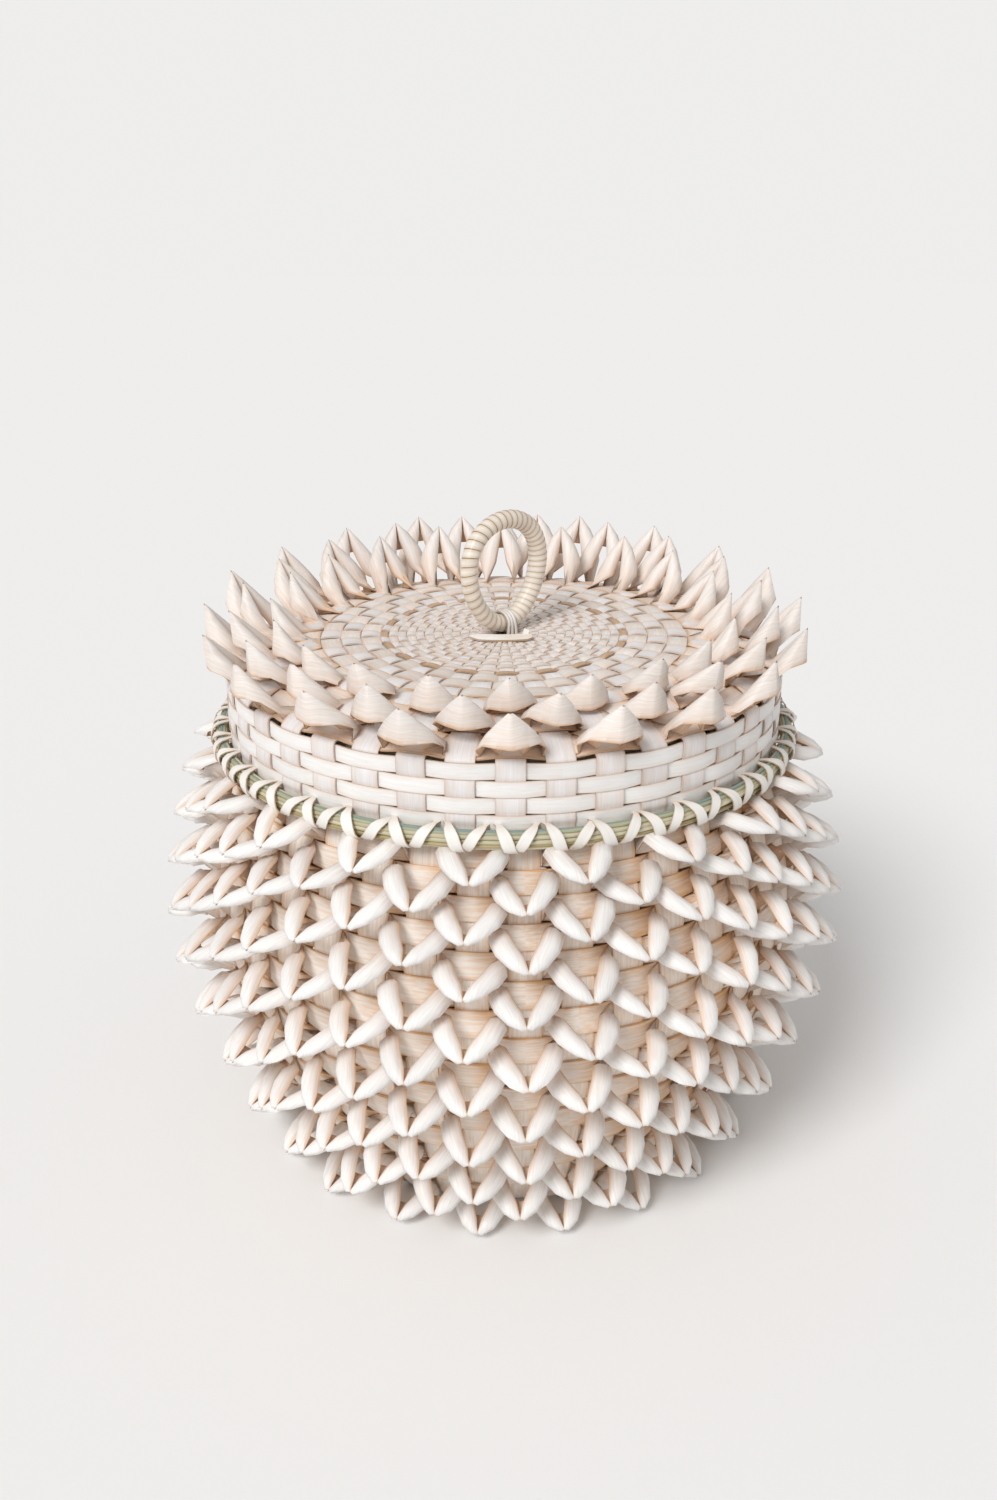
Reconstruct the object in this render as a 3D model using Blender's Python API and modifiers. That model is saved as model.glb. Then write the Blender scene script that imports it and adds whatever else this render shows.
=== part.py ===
"""Round lidded basket of wood splint with rows of pointed curls.

The basket is plain woven: uprights cross under the base and climb the wall on its inner side,
each row of the wall is one wide weaver, and over each weaver lies a strip that is twisted into
a pointed curl at every second upright. The lid is woven the same way, slips over the basket's
neck and carries a wrapped ring as its handle. Metres, +Z up, origin on the axis at the table.
Headings are measured from -Y, which is the front, towards +X.
"""
import math

import bmesh
import bpy
from mathutils import Matrix, Vector

# Weaving counts
UPRIGHTS = 40
CURLS_PER_ROW = UPRIGHTS // 2
WALL_ROWS = 15
NECK_ROWS = 2
BAND_ROWS = 4
WIDE_ROWS = 3
PITCH = 2.0 * math.pi / UPRIGHTS

# Thickness of the splints and the gap that separate pieces keep
UPRIGHT_THICK = 0.0010
WEAVER_THICK = 0.0012
CURL_THICK = 0.0010
LID_WEAVE_THICK = 0.0010
GAP = 0.0003

# Wall outline, measured on the weavers' outer side across the flats
FOOT_R = 0.0588
BELLY_R = 0.0868
SHOULDER_R = 0.0774
BELLY_Z = 0.0780
SHOULDER_Z = 0.1249
OUTLINE_POWER = 1.6

# Rows of the wall: each is wider than the one above it by a share of the top row's width
ROW_STEP = 0.050
ROW_GAP = 0.0004
CURL_STRIP_SHARE = 0.92
CURL_REACH = 0.0150
CURL_DROOP_TOP = 0.0012
CURL_DROOP_FOOT = 0.0042
FOOT_CURL_CLEAR = 0.0012
WALL_TURN = math.radians(2.4)

# Base and uprights of the basket, which stand just inside the wall's foot
BASE_INSET = 0.0028
BASE_R = FOOT_R - BASE_INSET
BASE_THICK = 0.0012
WALL_LIFT = 0.0005
WALL_START_Z = BASE_THICK + WALL_LIFT
UPRIGHT_W = 0.0088
UPRIGHT_FOOT_W = 0.0066
CROSSING_INSET = 0.0060
CROSSING_R = BASE_R - CROSSING_INSET
UPRIGHT_LEVELS = 5
FOOT_BEND = 0.0010
UPRIGHT_FOOT_RISE = 0.0025
SHOULDER_BEND = 0.0020

# Lid's band and height: it rests just above the shoulder and is a little wider
LID_OVERHANG = 0.0026
LID_R = SHOULDER_R + LID_OVERHANG
LID_SEAT_GAP = 0.0004
LID_EDGE_Z = SHOULDER_Z + LID_SEAT_GAP
LID_H = 0.0292
LID_TOP_Z = LID_EDGE_Z + LID_H
LID_DROP = 0.0070
LID_TURN = math.radians(1.2)
BAND_LIFT = 0.0039
BAND_BASE_Z = LID_EDGE_Z + BAND_LIFT
BAND_ROW_H = (LID_TOP_Z - LID_DROP - GAP - BAND_BASE_Z) / BAND_ROWS
BAND_UPRIGHT_R = LID_R - WEAVER_THICK - GAP

# Hoops and lacing at the lid's edge
LID_HOOP_THICK = 0.0008
LID_HOOP_H = 0.0048
LID_HOOP_CLEAR = 0.0005
LID_HOOP_R = BAND_UPRIGHT_R - UPRIGHT_THICK - LID_HOOP_CLEAR
GRASS_HALF_W = 0.0019
GRASS_HALF_H = 0.0027
LACE_R = 0.00045

# Neck and rim, which the lid slips over
LID_FIT_CLEAR = 0.0020
NECK_R = LID_HOOP_R - LID_HOOP_THICK - LID_FIT_CLEAR
NECK_RISE = 0.0025
NECK_START_Z = SHOULDER_Z + NECK_RISE
RIM_CLEAR = 0.00083
RIM_HOOP_H = 0.0050
RIM_HOOP_THICK = 0.0013
RIM_INNER_THICK = 0.0010
RIM_HOOP_CLEAR = 0.0003
RIM_LACE_R = 0.00035
RIM_LACE_MARGIN = 0.0008

# Handle ring, seen from its face, and what holds it
RING_HALF_W = 0.0133
RING_HALF_H = 0.0158
RING_NARROWING = 0.15
RING_CORE_R = 0.0017
WRAP_W = 0.0020
WRAP_THICK = 0.0006
WRAP_CLEAR = 0.00045
WRAP_INNER_R = RING_CORE_R + WRAP_CLEAR
TUBE_R = WRAP_INNER_R + WRAP_THICK
WRAP_TURNS = 26
WRAP_MARGIN = 0.045
HANDLE_TURN = math.radians(44.0)
STRAP_HALF_W = 0.0018
STRAP_THICK = 0.0007
STRAP_CLEAR = 0.0005
STRAP_R = TUBE_R + STRAP_CLEAR
TIE_SIZE = (0.0180, 0.0028, 0.0008)
TIE_SHIFT = -0.0010
TIE_CLEAR = 0.0011

# Lid top: flat in the middle, then falling in an even curve to the shoulder
LID_FLAT_R = 0.0450
LID_HOLE_CLEAR = 0.00046
LID_HOLE_R = math.hypot(STRAP_R + STRAP_THICK, STRAP_HALF_W) + LID_HOLE_CLEAR
FINE_WEAVE_R = 0.0332
DARK_ROW_W = 0.0018
WIDE_ROW_W = 0.0054
LID_UPRIGHT_W = 0.0075
LID_CROSSING_R = 0.0500
LID_UPRIGHT_ROOM = 0.0043
LID_UPRIGHT_START_R = LID_UPRIGHT_W / PITCH + LID_UPRIGHT_ROOM
LID_UPRIGHT_MID_R = 0.0640
LID_BEND_IN = 0.0009
LID_BEND_DOWN = 0.0021
LID_BEND_SKEW = 0.0007

# Lid's curls: each ring's point lies out from the ring's middle and up from the lid's top
LID_CURL_MARGIN = 0.0010
LID_CURL_GAP = 0.0012
LID_CURL_POINTS = ((0.0095, 0.0095), (0.0118, 0.0095), (0.0116, 0.0083))

# Facets round a piece and along its bends
ROUND_FACETS = 40
RING_STEPS = 28
RING_SIDES = 6
WRAP_STEPS = 8
ARCH_STEPS = 10

ROW_FACETS = CURLS_PER_ROW
MERGE = 0.00001

SPLINT = (0.80, 0.71, 0.60)
SPLINT_PALE = (0.86, 0.80, 0.73)
SPLINT_WARM = (0.74, 0.60, 0.44)
SPLINT_BROWN = (0.58, 0.42, 0.29)
GRASS = (0.42, 0.41, 0.22)
WRAP_TONE = (0.80, 0.73, 0.56)


def clear_scene():
    """Remove whatever the file starts with."""
    for item in list(bpy.data.objects):
        bpy.data.objects.remove(item, do_unlink=True)


def new_collection(name):
    """Make a collection under the scene's own."""
    collection = bpy.data.collections.new(name)
    bpy.context.scene.collection.children.link(collection)
    return collection


def finish(item, colour, roughness=0.72):
    """Give a piece its own material and put it in the basket's collection."""
    material = bpy.data.materials.new(item.name)
    material.use_nodes = True
    shader = material.node_tree.nodes["Principled BSDF"]
    shader.inputs["Base Color"].default_value = (*colour, 1.0)
    shader.inputs["Roughness"].default_value = roughness
    shader.inputs["Metallic"].default_value = 0.0
    material.diffuse_color = (*colour, 1.0)
    item.data.materials.append(material)
    for owner in list(item.users_collection):
        owner.objects.unlink(item)
    BASKET.objects.link(item)
    return item


def from_bmesh(name, bm):
    """Turn a bmesh into an object."""
    mesh = bpy.data.meshes.new(name)
    bm.to_mesh(mesh)
    bm.free()
    return bpy.data.objects.new(name, mesh)


def wall_radius(z):
    """Outer radius of the weavers at a height: a power curve each way from the belly."""
    if z < BELLY_Z:
        share = (BELLY_Z - z) / BELLY_Z
        return BELLY_R - (BELLY_R - FOOT_R) * share ** OUTLINE_POWER
    share = (z - BELLY_Z) / (SHOULDER_Z - BELLY_Z)
    return BELLY_R - (BELLY_R - SHOULDER_R) * share ** OUTLINE_POWER


def lid_height(r):
    """Height of the lid's woven surface at a radius."""
    if r < LID_FLAT_R:
        return LID_TOP_Z
    return LID_TOP_Z - LID_DROP * ((r - LID_FLAT_R) / (LID_R - LID_FLAT_R)) ** 2


def rim_height():
    """Height of the rim's top, which stays clear of the lid's uprights above the neck."""
    return lid_height(NECK_R) - LID_WEAVE_THICK - GAP - UPRIGHT_THICK - RIM_CLEAR


def row_edges():
    """Heights of the row boundaries from the shoulder down, measured out along the outline."""
    fine = 600
    span = SHOULDER_Z - WALL_START_Z
    heights = [SHOULDER_Z - span * i / fine for i in range(fine + 1)]
    lengths = [0.0]
    for above, below in zip(heights, heights[1:]):
        slope = wall_radius(above) - wall_radius(below)
        lengths.append(lengths[-1] + math.hypot(above - below, slope))
    weights = [1.0 + ROW_STEP * row for row in range(WALL_ROWS)]
    edges = [SHOULDER_Z]
    for row in range(1, WALL_ROWS + 1):
        want = lengths[-1] * sum(weights[:row]) / sum(weights)
        at = next((i for i, length in enumerate(lengths) if length >= want), fine)
        edges.append(heights[at])
    return edges


def turned(name, outline, facets, turn=0.0):
    """Turn a closed outline of (radius, z) round the axis.

    The outline runs down its outer side. Radii are across the flats. turn is the heading of a
    flat's middle, so that neighbouring rows can be staggered by one upright.
    """
    across = 1.0 / math.cos(math.pi / facets)
    mesh = bpy.data.meshes.new(name)
    points = [(r * across, 0.0, z) for r, z in outline]
    edges = [(i, (i + 1) % len(points)) for i in range(len(points))]
    mesh.from_pydata(points, edges, [])
    item = bpy.data.objects.new(name, mesh)
    screw = item.modifiers.new("Turn", "SCREW")
    screw.angle = 2.0 * math.pi
    screw.steps = facets
    screw.render_steps = facets
    screw.use_merge_vertices = True
    screw.merge_threshold = MERGE
    screw.use_smooth_shade = False
    item.rotation_euler.z = turn - math.pi / 2.0 + math.pi / facets
    return item


def band(top, bottom, thick):
    """Outline of a splint on edge between two (radius, z) points on its outer side."""
    return [top, bottom, (bottom[0] - thick, bottom[1]), (top[0] - thick, top[1])]


def flat_band(inner_r, outer_r, thick):
    """Outline of a splint lying on the lid from one radius to another."""
    top_out = (outer_r, lid_height(outer_r))
    top_in = (inner_r, lid_height(inner_r))
    return [top_in, top_out, (outer_r, top_out[1] - thick), (inner_r, top_in[1] - thick)]


def freeze(item):
    """Replace an object's mesh by its evaluated one, with its modifiers used up."""
    bpy.context.scene.collection.objects.link(item)
    bpy.context.view_layer.update()
    graph = bpy.context.evaluated_depsgraph_get()
    mesh = bpy.data.meshes.new_from_object(item.evaluated_get(graph))
    item.modifiers.clear()
    item.data = mesh
    return item


def raise_curls(item, faces_up, tip_r, tip_z):
    """Draw the middle of every outer (or upper) facet out to a curl's tip."""
    bm = bmesh.new()
    bm.from_mesh(item.data)
    chosen = []
    for face in bm.faces:
        middle = face.calc_center_median()
        outward = Vector((middle.x, middle.y, 0.0)).normalized()
        lean = face.normal.z if faces_up else face.normal.dot(outward)
        if lean > 0.5:
            chosen.append(face)
    poked = bmesh.ops.poke(bm, faces=chosen, center_mode="MEAN")
    for vert in poked["verts"]:
        outward = Vector((vert.co.x, vert.co.y, 0.0)).normalized()
        vert.co = outward * tip_r + Vector((0.0, 0.0, tip_z))
    bm.to_mesh(item.data)
    bm.free()


def heading(angle):
    """Unit vectors outwards and sideways at a heading from the front."""
    outward = Vector((math.sin(angle), -math.cos(angle), 0.0))
    return outward, Vector((math.cos(angle), math.sin(angle), 0.0))


def arm_steps(face, turn):
    """A side face's heading from the turn, in steps of half an upright's pitch."""
    middle = face.calc_center_median()
    angle = math.atan2(middle.x, -middle.y) - turn
    return round(angle / (PITCH / 2.0))


def is_arm(face, turn):
    """Every second facet of the crossing grows into an upright."""
    return arm_steps(face, turn) % 2 == 0


def arm_number(face, turn):
    """Which upright a face belongs to, counted from the turn."""
    return arm_steps(face, turn) // 2


def crossed_uprights(name, crossing_r, crossing_z, stations, turn):
    """The uprights as one piece: crossed in a disc, then bent along the stations.

    crossing_z holds the heights of the disc's outer and inner side. A station holds the
    (radius, z) of an upright's outer side, that of its inner side, and its half width.
    """
    low, high = min(crossing_z), max(crossing_z)
    bm = bmesh.new()
    bmesh.ops.create_cone(bm, cap_ends=True, segments=2 * UPRIGHTS, radius1=crossing_r,
                          radius2=crossing_r, depth=high - low,
                          matrix=Matrix.Translation((0.0, 0.0, (low + high) / 2.0)))
    sides = [face for face in bm.faces if abs(face.normal.z) < 0.5]
    first = sides[0].calc_center_median()
    shift = turn - math.pi / 2.0 - math.atan2(first.y, first.x)
    bmesh.ops.rotate(bm, verts=bm.verts, cent=(0.0, 0.0, 0.0),
                     matrix=Matrix.Rotation(shift, 3, "Z"))
    arms = [face for face in sides if is_arm(face, turn)]
    before = [(crossing_r, crossing_z[0]), (crossing_r, crossing_z[1])]
    for outer, inner, half in stations:
        arms = bmesh.ops.extrude_discrete_faces(bm, faces=arms)["faces"]
        for face in arms:
            outward, sideways = heading(turn + arm_number(face, turn) * PITCH)
            for vert in face.verts:
                reach = vert.co.dot(outward)
                gaps = [math.hypot(reach - r, vert.co.z - z) for r, z in before]
                r, z = outer if gaps[0] <= gaps[1] else inner
                side = half if vert.co.dot(sideways) > 0.0 else -half
                vert.co = outward * r + sideways * side + Vector((0.0, 0.0, z))
        before = [outer, inner]
    return from_bmesh(name, bm)


def lace(name, r, z_low, z_high, count, strand_r, turn):
    """A strand laced in V stitches round a hoop, as one closed zigzag."""
    curve = bpy.data.curves.new(name, "CURVE")
    curve.dimensions = "3D"
    curve.bevel_depth = strand_r
    curve.bevel_resolution = 0
    spline = curve.splines.new("POLY")
    spline.points.add(2 * count - 1)
    spline.use_cyclic_u = True
    for i, point in enumerate(spline.points):
        outward, _ = heading(turn + i * math.pi / count)
        z = z_high if i % 2 else z_low
        point.co = (outward.x * r, outward.y * r, z, 1.0)
    return bpy.data.objects.new(name, curve)


def ring_frame(t):
    """Place, direction and inward normal of the handle ring's middle line.

    t runs round the ring from its foot. The ring stands in its own plane, where the first
    coordinate is along the ring's width and the third is up from the foot.
    """
    width = RING_HALF_W * math.sin(t) * (1.0 - RING_NARROWING * math.cos(t))
    place = Vector((width, 0.0, RING_HALF_H * (1.0 - math.cos(t))))
    slope = RING_HALF_W * (math.cos(t) - RING_NARROWING * math.cos(2.0 * t))
    along = Vector((slope, 0.0, RING_HALF_H * math.sin(t))).normalized()
    inward = Vector((-along.z, 0.0, along.x))
    return place, along, inward


def even_steps(count):
    """Values of t that divide the ring's middle line into equal lengths."""
    fine = 720
    lengths = [0.0]
    last = ring_frame(0.0)[0]
    for i in range(1, fine + 1):
        here = ring_frame(2.0 * math.pi * i / fine)[0]
        lengths.append(lengths[-1] + (here - last).length)
        last = here
    steps = []
    at = 0
    for i in range(count):
        want = lengths[-1] * i / count
        while lengths[at + 1] < want:
            at += 1
        part = (want - lengths[at]) / (lengths[at + 1] - lengths[at])
        steps.append(2.0 * math.pi * (at + part) / fine)
    return steps


def sweep(name, sections, closed):
    """Join a row of like sections by quads; an open row is capped at both ends."""
    bm = bmesh.new()
    loops = [[bm.verts.new(point) for point in section] for section in sections]
    size = len(loops[0])
    pairs = list(zip(loops, loops[1:]))
    if closed:
        pairs.append((loops[-1], loops[0]))
    for here, there in pairs:
        for i in range(size):
            j = (i + 1) % size
            bm.faces.new((here[i], here[j], there[j], there[i]))
    if not closed:
        bm.faces.new(list(reversed(loops[0])))
        bm.faces.new(loops[-1])
    bmesh.ops.recalc_face_normals(bm, faces=bm.faces)
    return from_bmesh(name, bm)


def ring_core():
    """The bent core of the handle ring."""
    sections = []
    for t in even_steps(RING_STEPS):
        place, along, inward = ring_frame(t)
        across = along.cross(inward)
        section = []
        for i in range(RING_SIDES):
            angle = 2.0 * math.pi * i / RING_SIDES
            section.append(place + (inward * math.cos(angle) + across * math.sin(angle)) * RING_CORE_R)
        sections.append(section)
    return sweep("handle_ring_core", sections, True)


def ring_wrap():
    """The flat splint wound round the core as one unbroken ribbon, clear of the strap."""
    per_length = WRAP_TURNS * WRAP_STEPS
    first = round(WRAP_MARGIN * per_length)
    sections = []
    for i, t in enumerate(even_steps(per_length)[first:per_length + 1 - first]):
        place, along, inward = ring_frame(t)
        across = along.cross(inward)
        angle = 2.0 * math.pi * i / WRAP_STEPS
        radial = inward * math.cos(angle) + across * math.sin(angle)
        near = place + radial * WRAP_INNER_R
        far = place + radial * (WRAP_INNER_R + WRAP_THICK)
        side = along * (WRAP_W / 2.0)
        sections.append([near - side, near + side, far + side, far - side])
    report_wrap_gap(sections)
    return sweep("handle_ring_wrap", sections, False)


def report_wrap_gap(sections):
    """Measure the least gap between one turn of the ribbon and the next, and print it."""
    least = min(
        (a - b).length
        for here, there in zip(sections, sections[WRAP_STEPS:])
        for a in here
        for b in there
    )
    print(f"handle wrap: least gap to itself {least * 1000:.2f} mm")


def strap_outline(inner_r, foot_z):
    """Points of the strap's edge: up one leg, over the ring's foot, down the other leg."""
    outer_r = inner_r + STRAP_THICK
    points = [(outer_r, foot_z)]
    for i in range(ARCH_STEPS + 1):
        angle = math.pi * i / ARCH_STEPS
        points.append((outer_r * math.cos(angle), outer_r * math.sin(angle)))
    points += [(-outer_r, foot_z), (-inner_r, foot_z)]
    for i in range(ARCH_STEPS, -1, -1):
        angle = math.pi * i / ARCH_STEPS
        points.append((inner_r * math.cos(angle), inner_r * math.sin(angle)))
    points.append((inner_r, foot_z))
    return points


def handle_strap(inner_r, foot_z):
    """The narrow splint that loops over the ring's foot, as an extruded outline."""
    curve = bpy.data.curves.new("handle_strap", "CURVE")
    curve.dimensions = "2D"
    curve.fill_mode = "BOTH"
    curve.extrude = STRAP_HALF_W
    outline = strap_outline(inner_r, foot_z)
    spline = curve.splines.new("POLY")
    spline.points.add(len(outline) - 1)
    spline.use_cyclic_u = True
    for point, (x, y) in zip(spline.points, outline):
        point.co = (x, y, 0.0, 1.0)
    return bpy.data.objects.new("handle_strap", curve)


def make_base():
    """The woven disc that the basket stands on."""
    bpy.ops.mesh.primitive_cylinder_add(vertices=ROUND_FACETS, radius=BASE_R, depth=BASE_THICK)
    disc = bpy.context.active_object
    disc.name = "base_weave"
    disc.location.z = BASE_THICK / 2.0
    finish(disc, SPLINT_WARM)


def make_uprights():
    """The basket's uprights, from their crossing in the base up to the rim."""
    inset = WEAVER_THICK + GAP
    under = BASE_THICK + GAP
    stations = [
        ((BASE_R + FOOT_BEND, under), (BASE_R + FOOT_BEND - UPRIGHT_THICK / 2.0, under + UPRIGHT_THICK),
         UPRIGHT_FOOT_W / 2.0),
    ]
    foot_z = under + UPRIGHT_FOOT_RISE
    for i in range(UPRIGHT_LEVELS + 1):
        share = i / UPRIGHT_LEVELS
        z = foot_z + (SHOULDER_Z - SHOULDER_BEND - foot_z) * share
        half = (UPRIGHT_FOOT_W + (UPRIGHT_W - UPRIGHT_FOOT_W) * min(1.0, 2.0 * share)) / 2.0
        r = wall_radius(z) - inset
        stations.append(((r, z), (r - UPRIGHT_THICK, z), half))
    r = NECK_R - inset
    for z in (NECK_START_Z, rim_height() - GAP):
        stations.append(((r, z), (r - UPRIGHT_THICK, z), UPRIGHT_W / 2.0))
    sides = (under, under + UPRIGHT_THICK)
    item = crossed_uprights("body_uprights", CROSSING_R, sides, stations, WALL_TURN)
    finish(item, SPLINT_WARM)


def make_wall():
    """The wall's rows, each a wide weaver under a strip of pointed curls."""
    edges = row_edges()
    for row in range(WALL_ROWS):
        top_z = edges[row] - ROW_GAP / 2.0
        low_z = edges[row + 1] + ROW_GAP / 2.0
        turn = WALL_TURN + (0.0 if row % 2 else PITCH)
        number = f"{row + 1:02d}"
        outline = band((wall_radius(top_z), top_z), (wall_radius(low_z), low_z), WEAVER_THICK)
        finish(turned(f"wall_weaver_{number}", outline, ROW_FACETS, turn), SPLINT)
        middle = (top_z + low_z) / 2.0
        reach = (top_z - low_z) * CURL_STRIP_SHARE / 2.0
        out = GAP + CURL_THICK
        high = (wall_radius(middle + reach) + out, middle + reach)
        low = (wall_radius(middle - reach) + out, middle - reach)
        curls = turned(f"wall_curls_{number}", band(high, low, CURL_THICK), ROW_FACETS, turn)
        freeze(curls)
        droop = CURL_DROOP_TOP + (CURL_DROOP_FOOT - CURL_DROOP_TOP) * row / (WALL_ROWS - 1)
        tip_z = max(middle - droop, FOOT_CURL_CLEAR)
        raise_curls(curls, False, wall_radius(middle) + CURL_REACH, tip_z)
        finish(curls, SPLINT_PALE)


def make_neck():
    """The plain rows inside the lid, and the rim's two hoops with their lacing."""
    low = NECK_START_Z
    rim_z = rim_height()
    high = rim_z - RIM_HOOP_H
    height = (high - low) / NECK_ROWS
    for row in range(NECK_ROWS):
        top_z = high - row * height - ROW_GAP / 2.0
        low_z = top_z - height + ROW_GAP
        turn = WALL_TURN + (0.0 if row % 2 else PITCH)
        outline = band((NECK_R, top_z), (NECK_R, low_z), WEAVER_THICK)
        finish(turned(f"neck_weaver_{row + 1}", outline, ROW_FACETS, turn), SPLINT)
    upright_r = NECK_R - WEAVER_THICK - GAP
    hoop_low = high + GAP
    outer_r = upright_r + GAP + RIM_HOOP_THICK
    outline = band((outer_r, rim_z), (outer_r, hoop_low), RIM_HOOP_THICK)
    finish(turned("rim_outer_hoop", outline, ROUND_FACETS, WALL_TURN), SPLINT)
    inner_r = upright_r - UPRIGHT_THICK - GAP - RIM_HOOP_CLEAR
    outline = band((inner_r, rim_z), (inner_r, hoop_low), RIM_INNER_THICK)
    finish(turned("rim_inner_hoop", outline, ROUND_FACETS, WALL_TURN), SPLINT)
    lace_r = outer_r / math.cos(math.pi / ROUND_FACETS) + GAP + RIM_LACE_R
    strand = lace("rim_lacing", lace_r, hoop_low + RIM_LACE_MARGIN, rim_z - RIM_LACE_MARGIN,
                  ROW_FACETS, RIM_LACE_R, WALL_TURN)
    finish(strand, SPLINT_PALE)


def make_lid_top():
    """The lid's crossed uprights and everything woven on their upper side."""
    under = LID_WEAVE_THICK + GAP
    bend_r = BAND_UPRIGHT_R - LID_BEND_IN
    stations = []
    for r in (LID_UPRIGHT_START_R, LID_UPRIGHT_MID_R):
        z = lid_height(r) - under
        stations.append(((r, z), (r, z - UPRIGHT_THICK), LID_UPRIGHT_W / 2.0))
    z = lid_height(bend_r) - under
    half = LID_UPRIGHT_W / 2.0
    inner_r = BAND_UPRIGHT_R - UPRIGHT_THICK
    below = z - LID_BEND_DOWN
    stations.append(((bend_r, z), (bend_r - LID_BEND_SKEW, z - UPRIGHT_THICK), half))
    stations.append(((BAND_UPRIGHT_R, below), (inner_r, below - UPRIGHT_THICK / 2.0), half))
    stations.append(((BAND_UPRIGHT_R, LID_EDGE_Z), (inner_r, LID_EDGE_Z), half))
    crossing_z = lid_height(LID_CROSSING_R) - under
    item = crossed_uprights("lid_uprights", LID_CROSSING_R,
                            (crossing_z, crossing_z - UPRIGHT_THICK), stations, LID_TURN)
    finish(item, SPLINT_WARM)
    outline = flat_band(LID_HOLE_R, FINE_WEAVE_R, LID_WEAVE_THICK)
    finish(turned("lid_fine_weave", outline, ROW_FACETS, LID_TURN), SPLINT)
    start = FINE_WEAVE_R + GAP
    outline = flat_band(start, start + DARK_ROW_W, LID_WEAVE_THICK)
    finish(turned("lid_brown_weaver", outline, ROW_FACETS, LID_TURN), SPLINT_BROWN)
    start += DARK_ROW_W + GAP
    for row in range(WIDE_ROWS):
        outline = flat_band(start, start + WIDE_ROW_W, LID_WEAVE_THICK)
        item = turned(f"lid_wide_weaver_{row + 1}", outline, ROW_FACETS, LID_TURN)
        finish(item, SPLINT)
        start += WIDE_ROW_W + GAP
    width = (LID_R - LID_CURL_MARGIN - start) / len(LID_CURL_POINTS)
    for row, (out, up) in enumerate(LID_CURL_POINTS):
        inner_r = start + row * width
        outer_r = inner_r + width - LID_CURL_GAP
        outline = flat_band(inner_r, outer_r, LID_WEAVE_THICK)
        turn = LID_TURN + (PITCH if row % 2 else 0.0)
        curls = freeze(turned(f"lid_curls_{row + 1}", outline, ROW_FACETS, turn))
        raise_curls(curls, True, (inner_r + outer_r) / 2.0 + out, LID_TOP_Z + up)
        finish(curls, SPLINT_PALE)


def make_lid_band():
    """The lid's side: four rows, the hoops at its edge and the lacing round them."""
    for row in range(BAND_ROWS):
        low_z = BAND_BASE_Z + (BAND_ROWS - 1 - row) * BAND_ROW_H
        top_z = low_z + BAND_ROW_H - ROW_GAP
        outline = band((LID_R, top_z), (LID_R, low_z), WEAVER_THICK)
        item = turned(f"lid_band_weaver_{row + 1}", outline, ROUND_FACETS, LID_TURN)
        finish(item, SPLINT_PALE)
    top_z = LID_EDGE_Z + LID_HOOP_H
    outline = band((LID_HOOP_R, top_z), (LID_HOOP_R, LID_EDGE_Z), LID_HOOP_THICK)
    finish(turned("lid_inner_hoop", outline, ROUND_FACETS, LID_TURN), SPLINT)
    middle_r = LID_R + GAP + GRASS_HALF_W * math.cos(math.pi / RING_SIDES)
    middle_z = LID_EDGE_Z + GRASS_HALF_H
    outline = []
    for i in range(RING_SIDES):
        angle = math.pi / 2.0 - 2.0 * math.pi * (i + 0.5) / RING_SIDES
        outline.append((middle_r + GRASS_HALF_W * math.cos(angle),
                        middle_z + GRASS_HALF_H * math.sin(angle)))
    finish(turned("lid_grass_hoop", outline, ROUND_FACETS, LID_TURN), GRASS, 0.6)
    outer_r = middle_r + GRASS_HALF_W
    lace_r = outer_r / math.cos(math.pi / ROUND_FACETS) + GAP + LACE_R
    strand = lace("lid_hoop_lacing", lace_r, middle_z - GRASS_HALF_H + LACE_R,
                  middle_z + GRASS_HALF_H - LACE_R, UPRIGHTS, LACE_R, LID_TURN)
    finish(strand, SPLINT_PALE)


def make_handle():
    """The wrapped ring on its tilt axis, with the strap and tie that hold it to the lid."""
    crossing_z = lid_height(LID_CROSSING_R) - LID_WEAVE_THICK - GAP
    axis_z = LID_TOP_Z + GAP + TUBE_R
    pivot = bpy.data.objects.new("handle_pivot", None)
    BASKET.objects.link(pivot)
    pivot.location = (0.0, 0.0, axis_z)
    pivot.rotation_euler.z = HANDLE_TURN
    core = finish(ring_core(), SPLINT_WARM)
    core.parent = pivot
    wrap = finish(ring_wrap(), WRAP_TONE, 0.55)
    wrap.parent = pivot
    strap = finish(handle_strap(STRAP_R, crossing_z + GAP - axis_z), SPLINT_PALE)
    strap.location = (0.0, 0.0, axis_z)
    strap.rotation_euler = (math.pi / 2.0, 0.0, HANDLE_TURN + math.pi / 2.0)
    strap_front = ((STRAP_R + STRAP_THICK) * math.cos(HANDLE_TURN)
                   + STRAP_HALF_W * math.sin(HANDLE_TURN))
    bpy.ops.mesh.primitive_cube_add(size=1.0)
    tie = bpy.context.active_object
    tie.name = "handle_tie"
    tie.data.transform(Matrix.Diagonal((*TIE_SIZE, 1.0)))
    tie.location = (TIE_SHIFT, -strap_front - TIE_CLEAR - TIE_SIZE[1] / 2.0,
                    LID_TOP_Z + GAP + TIE_SIZE[2] / 2.0)
    edge = tie.modifiers.new("Worn edge", "BEVEL")
    edge.width = TIE_SIZE[2] / 4.0
    edge.segments = 1
    finish(tie, SPLINT_PALE)


clear_scene()
BASKET = new_collection("lidded_basket")
make_base()
make_uprights()
make_wall()
make_neck()
make_lid_top()
make_lid_band()
make_handle()
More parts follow.
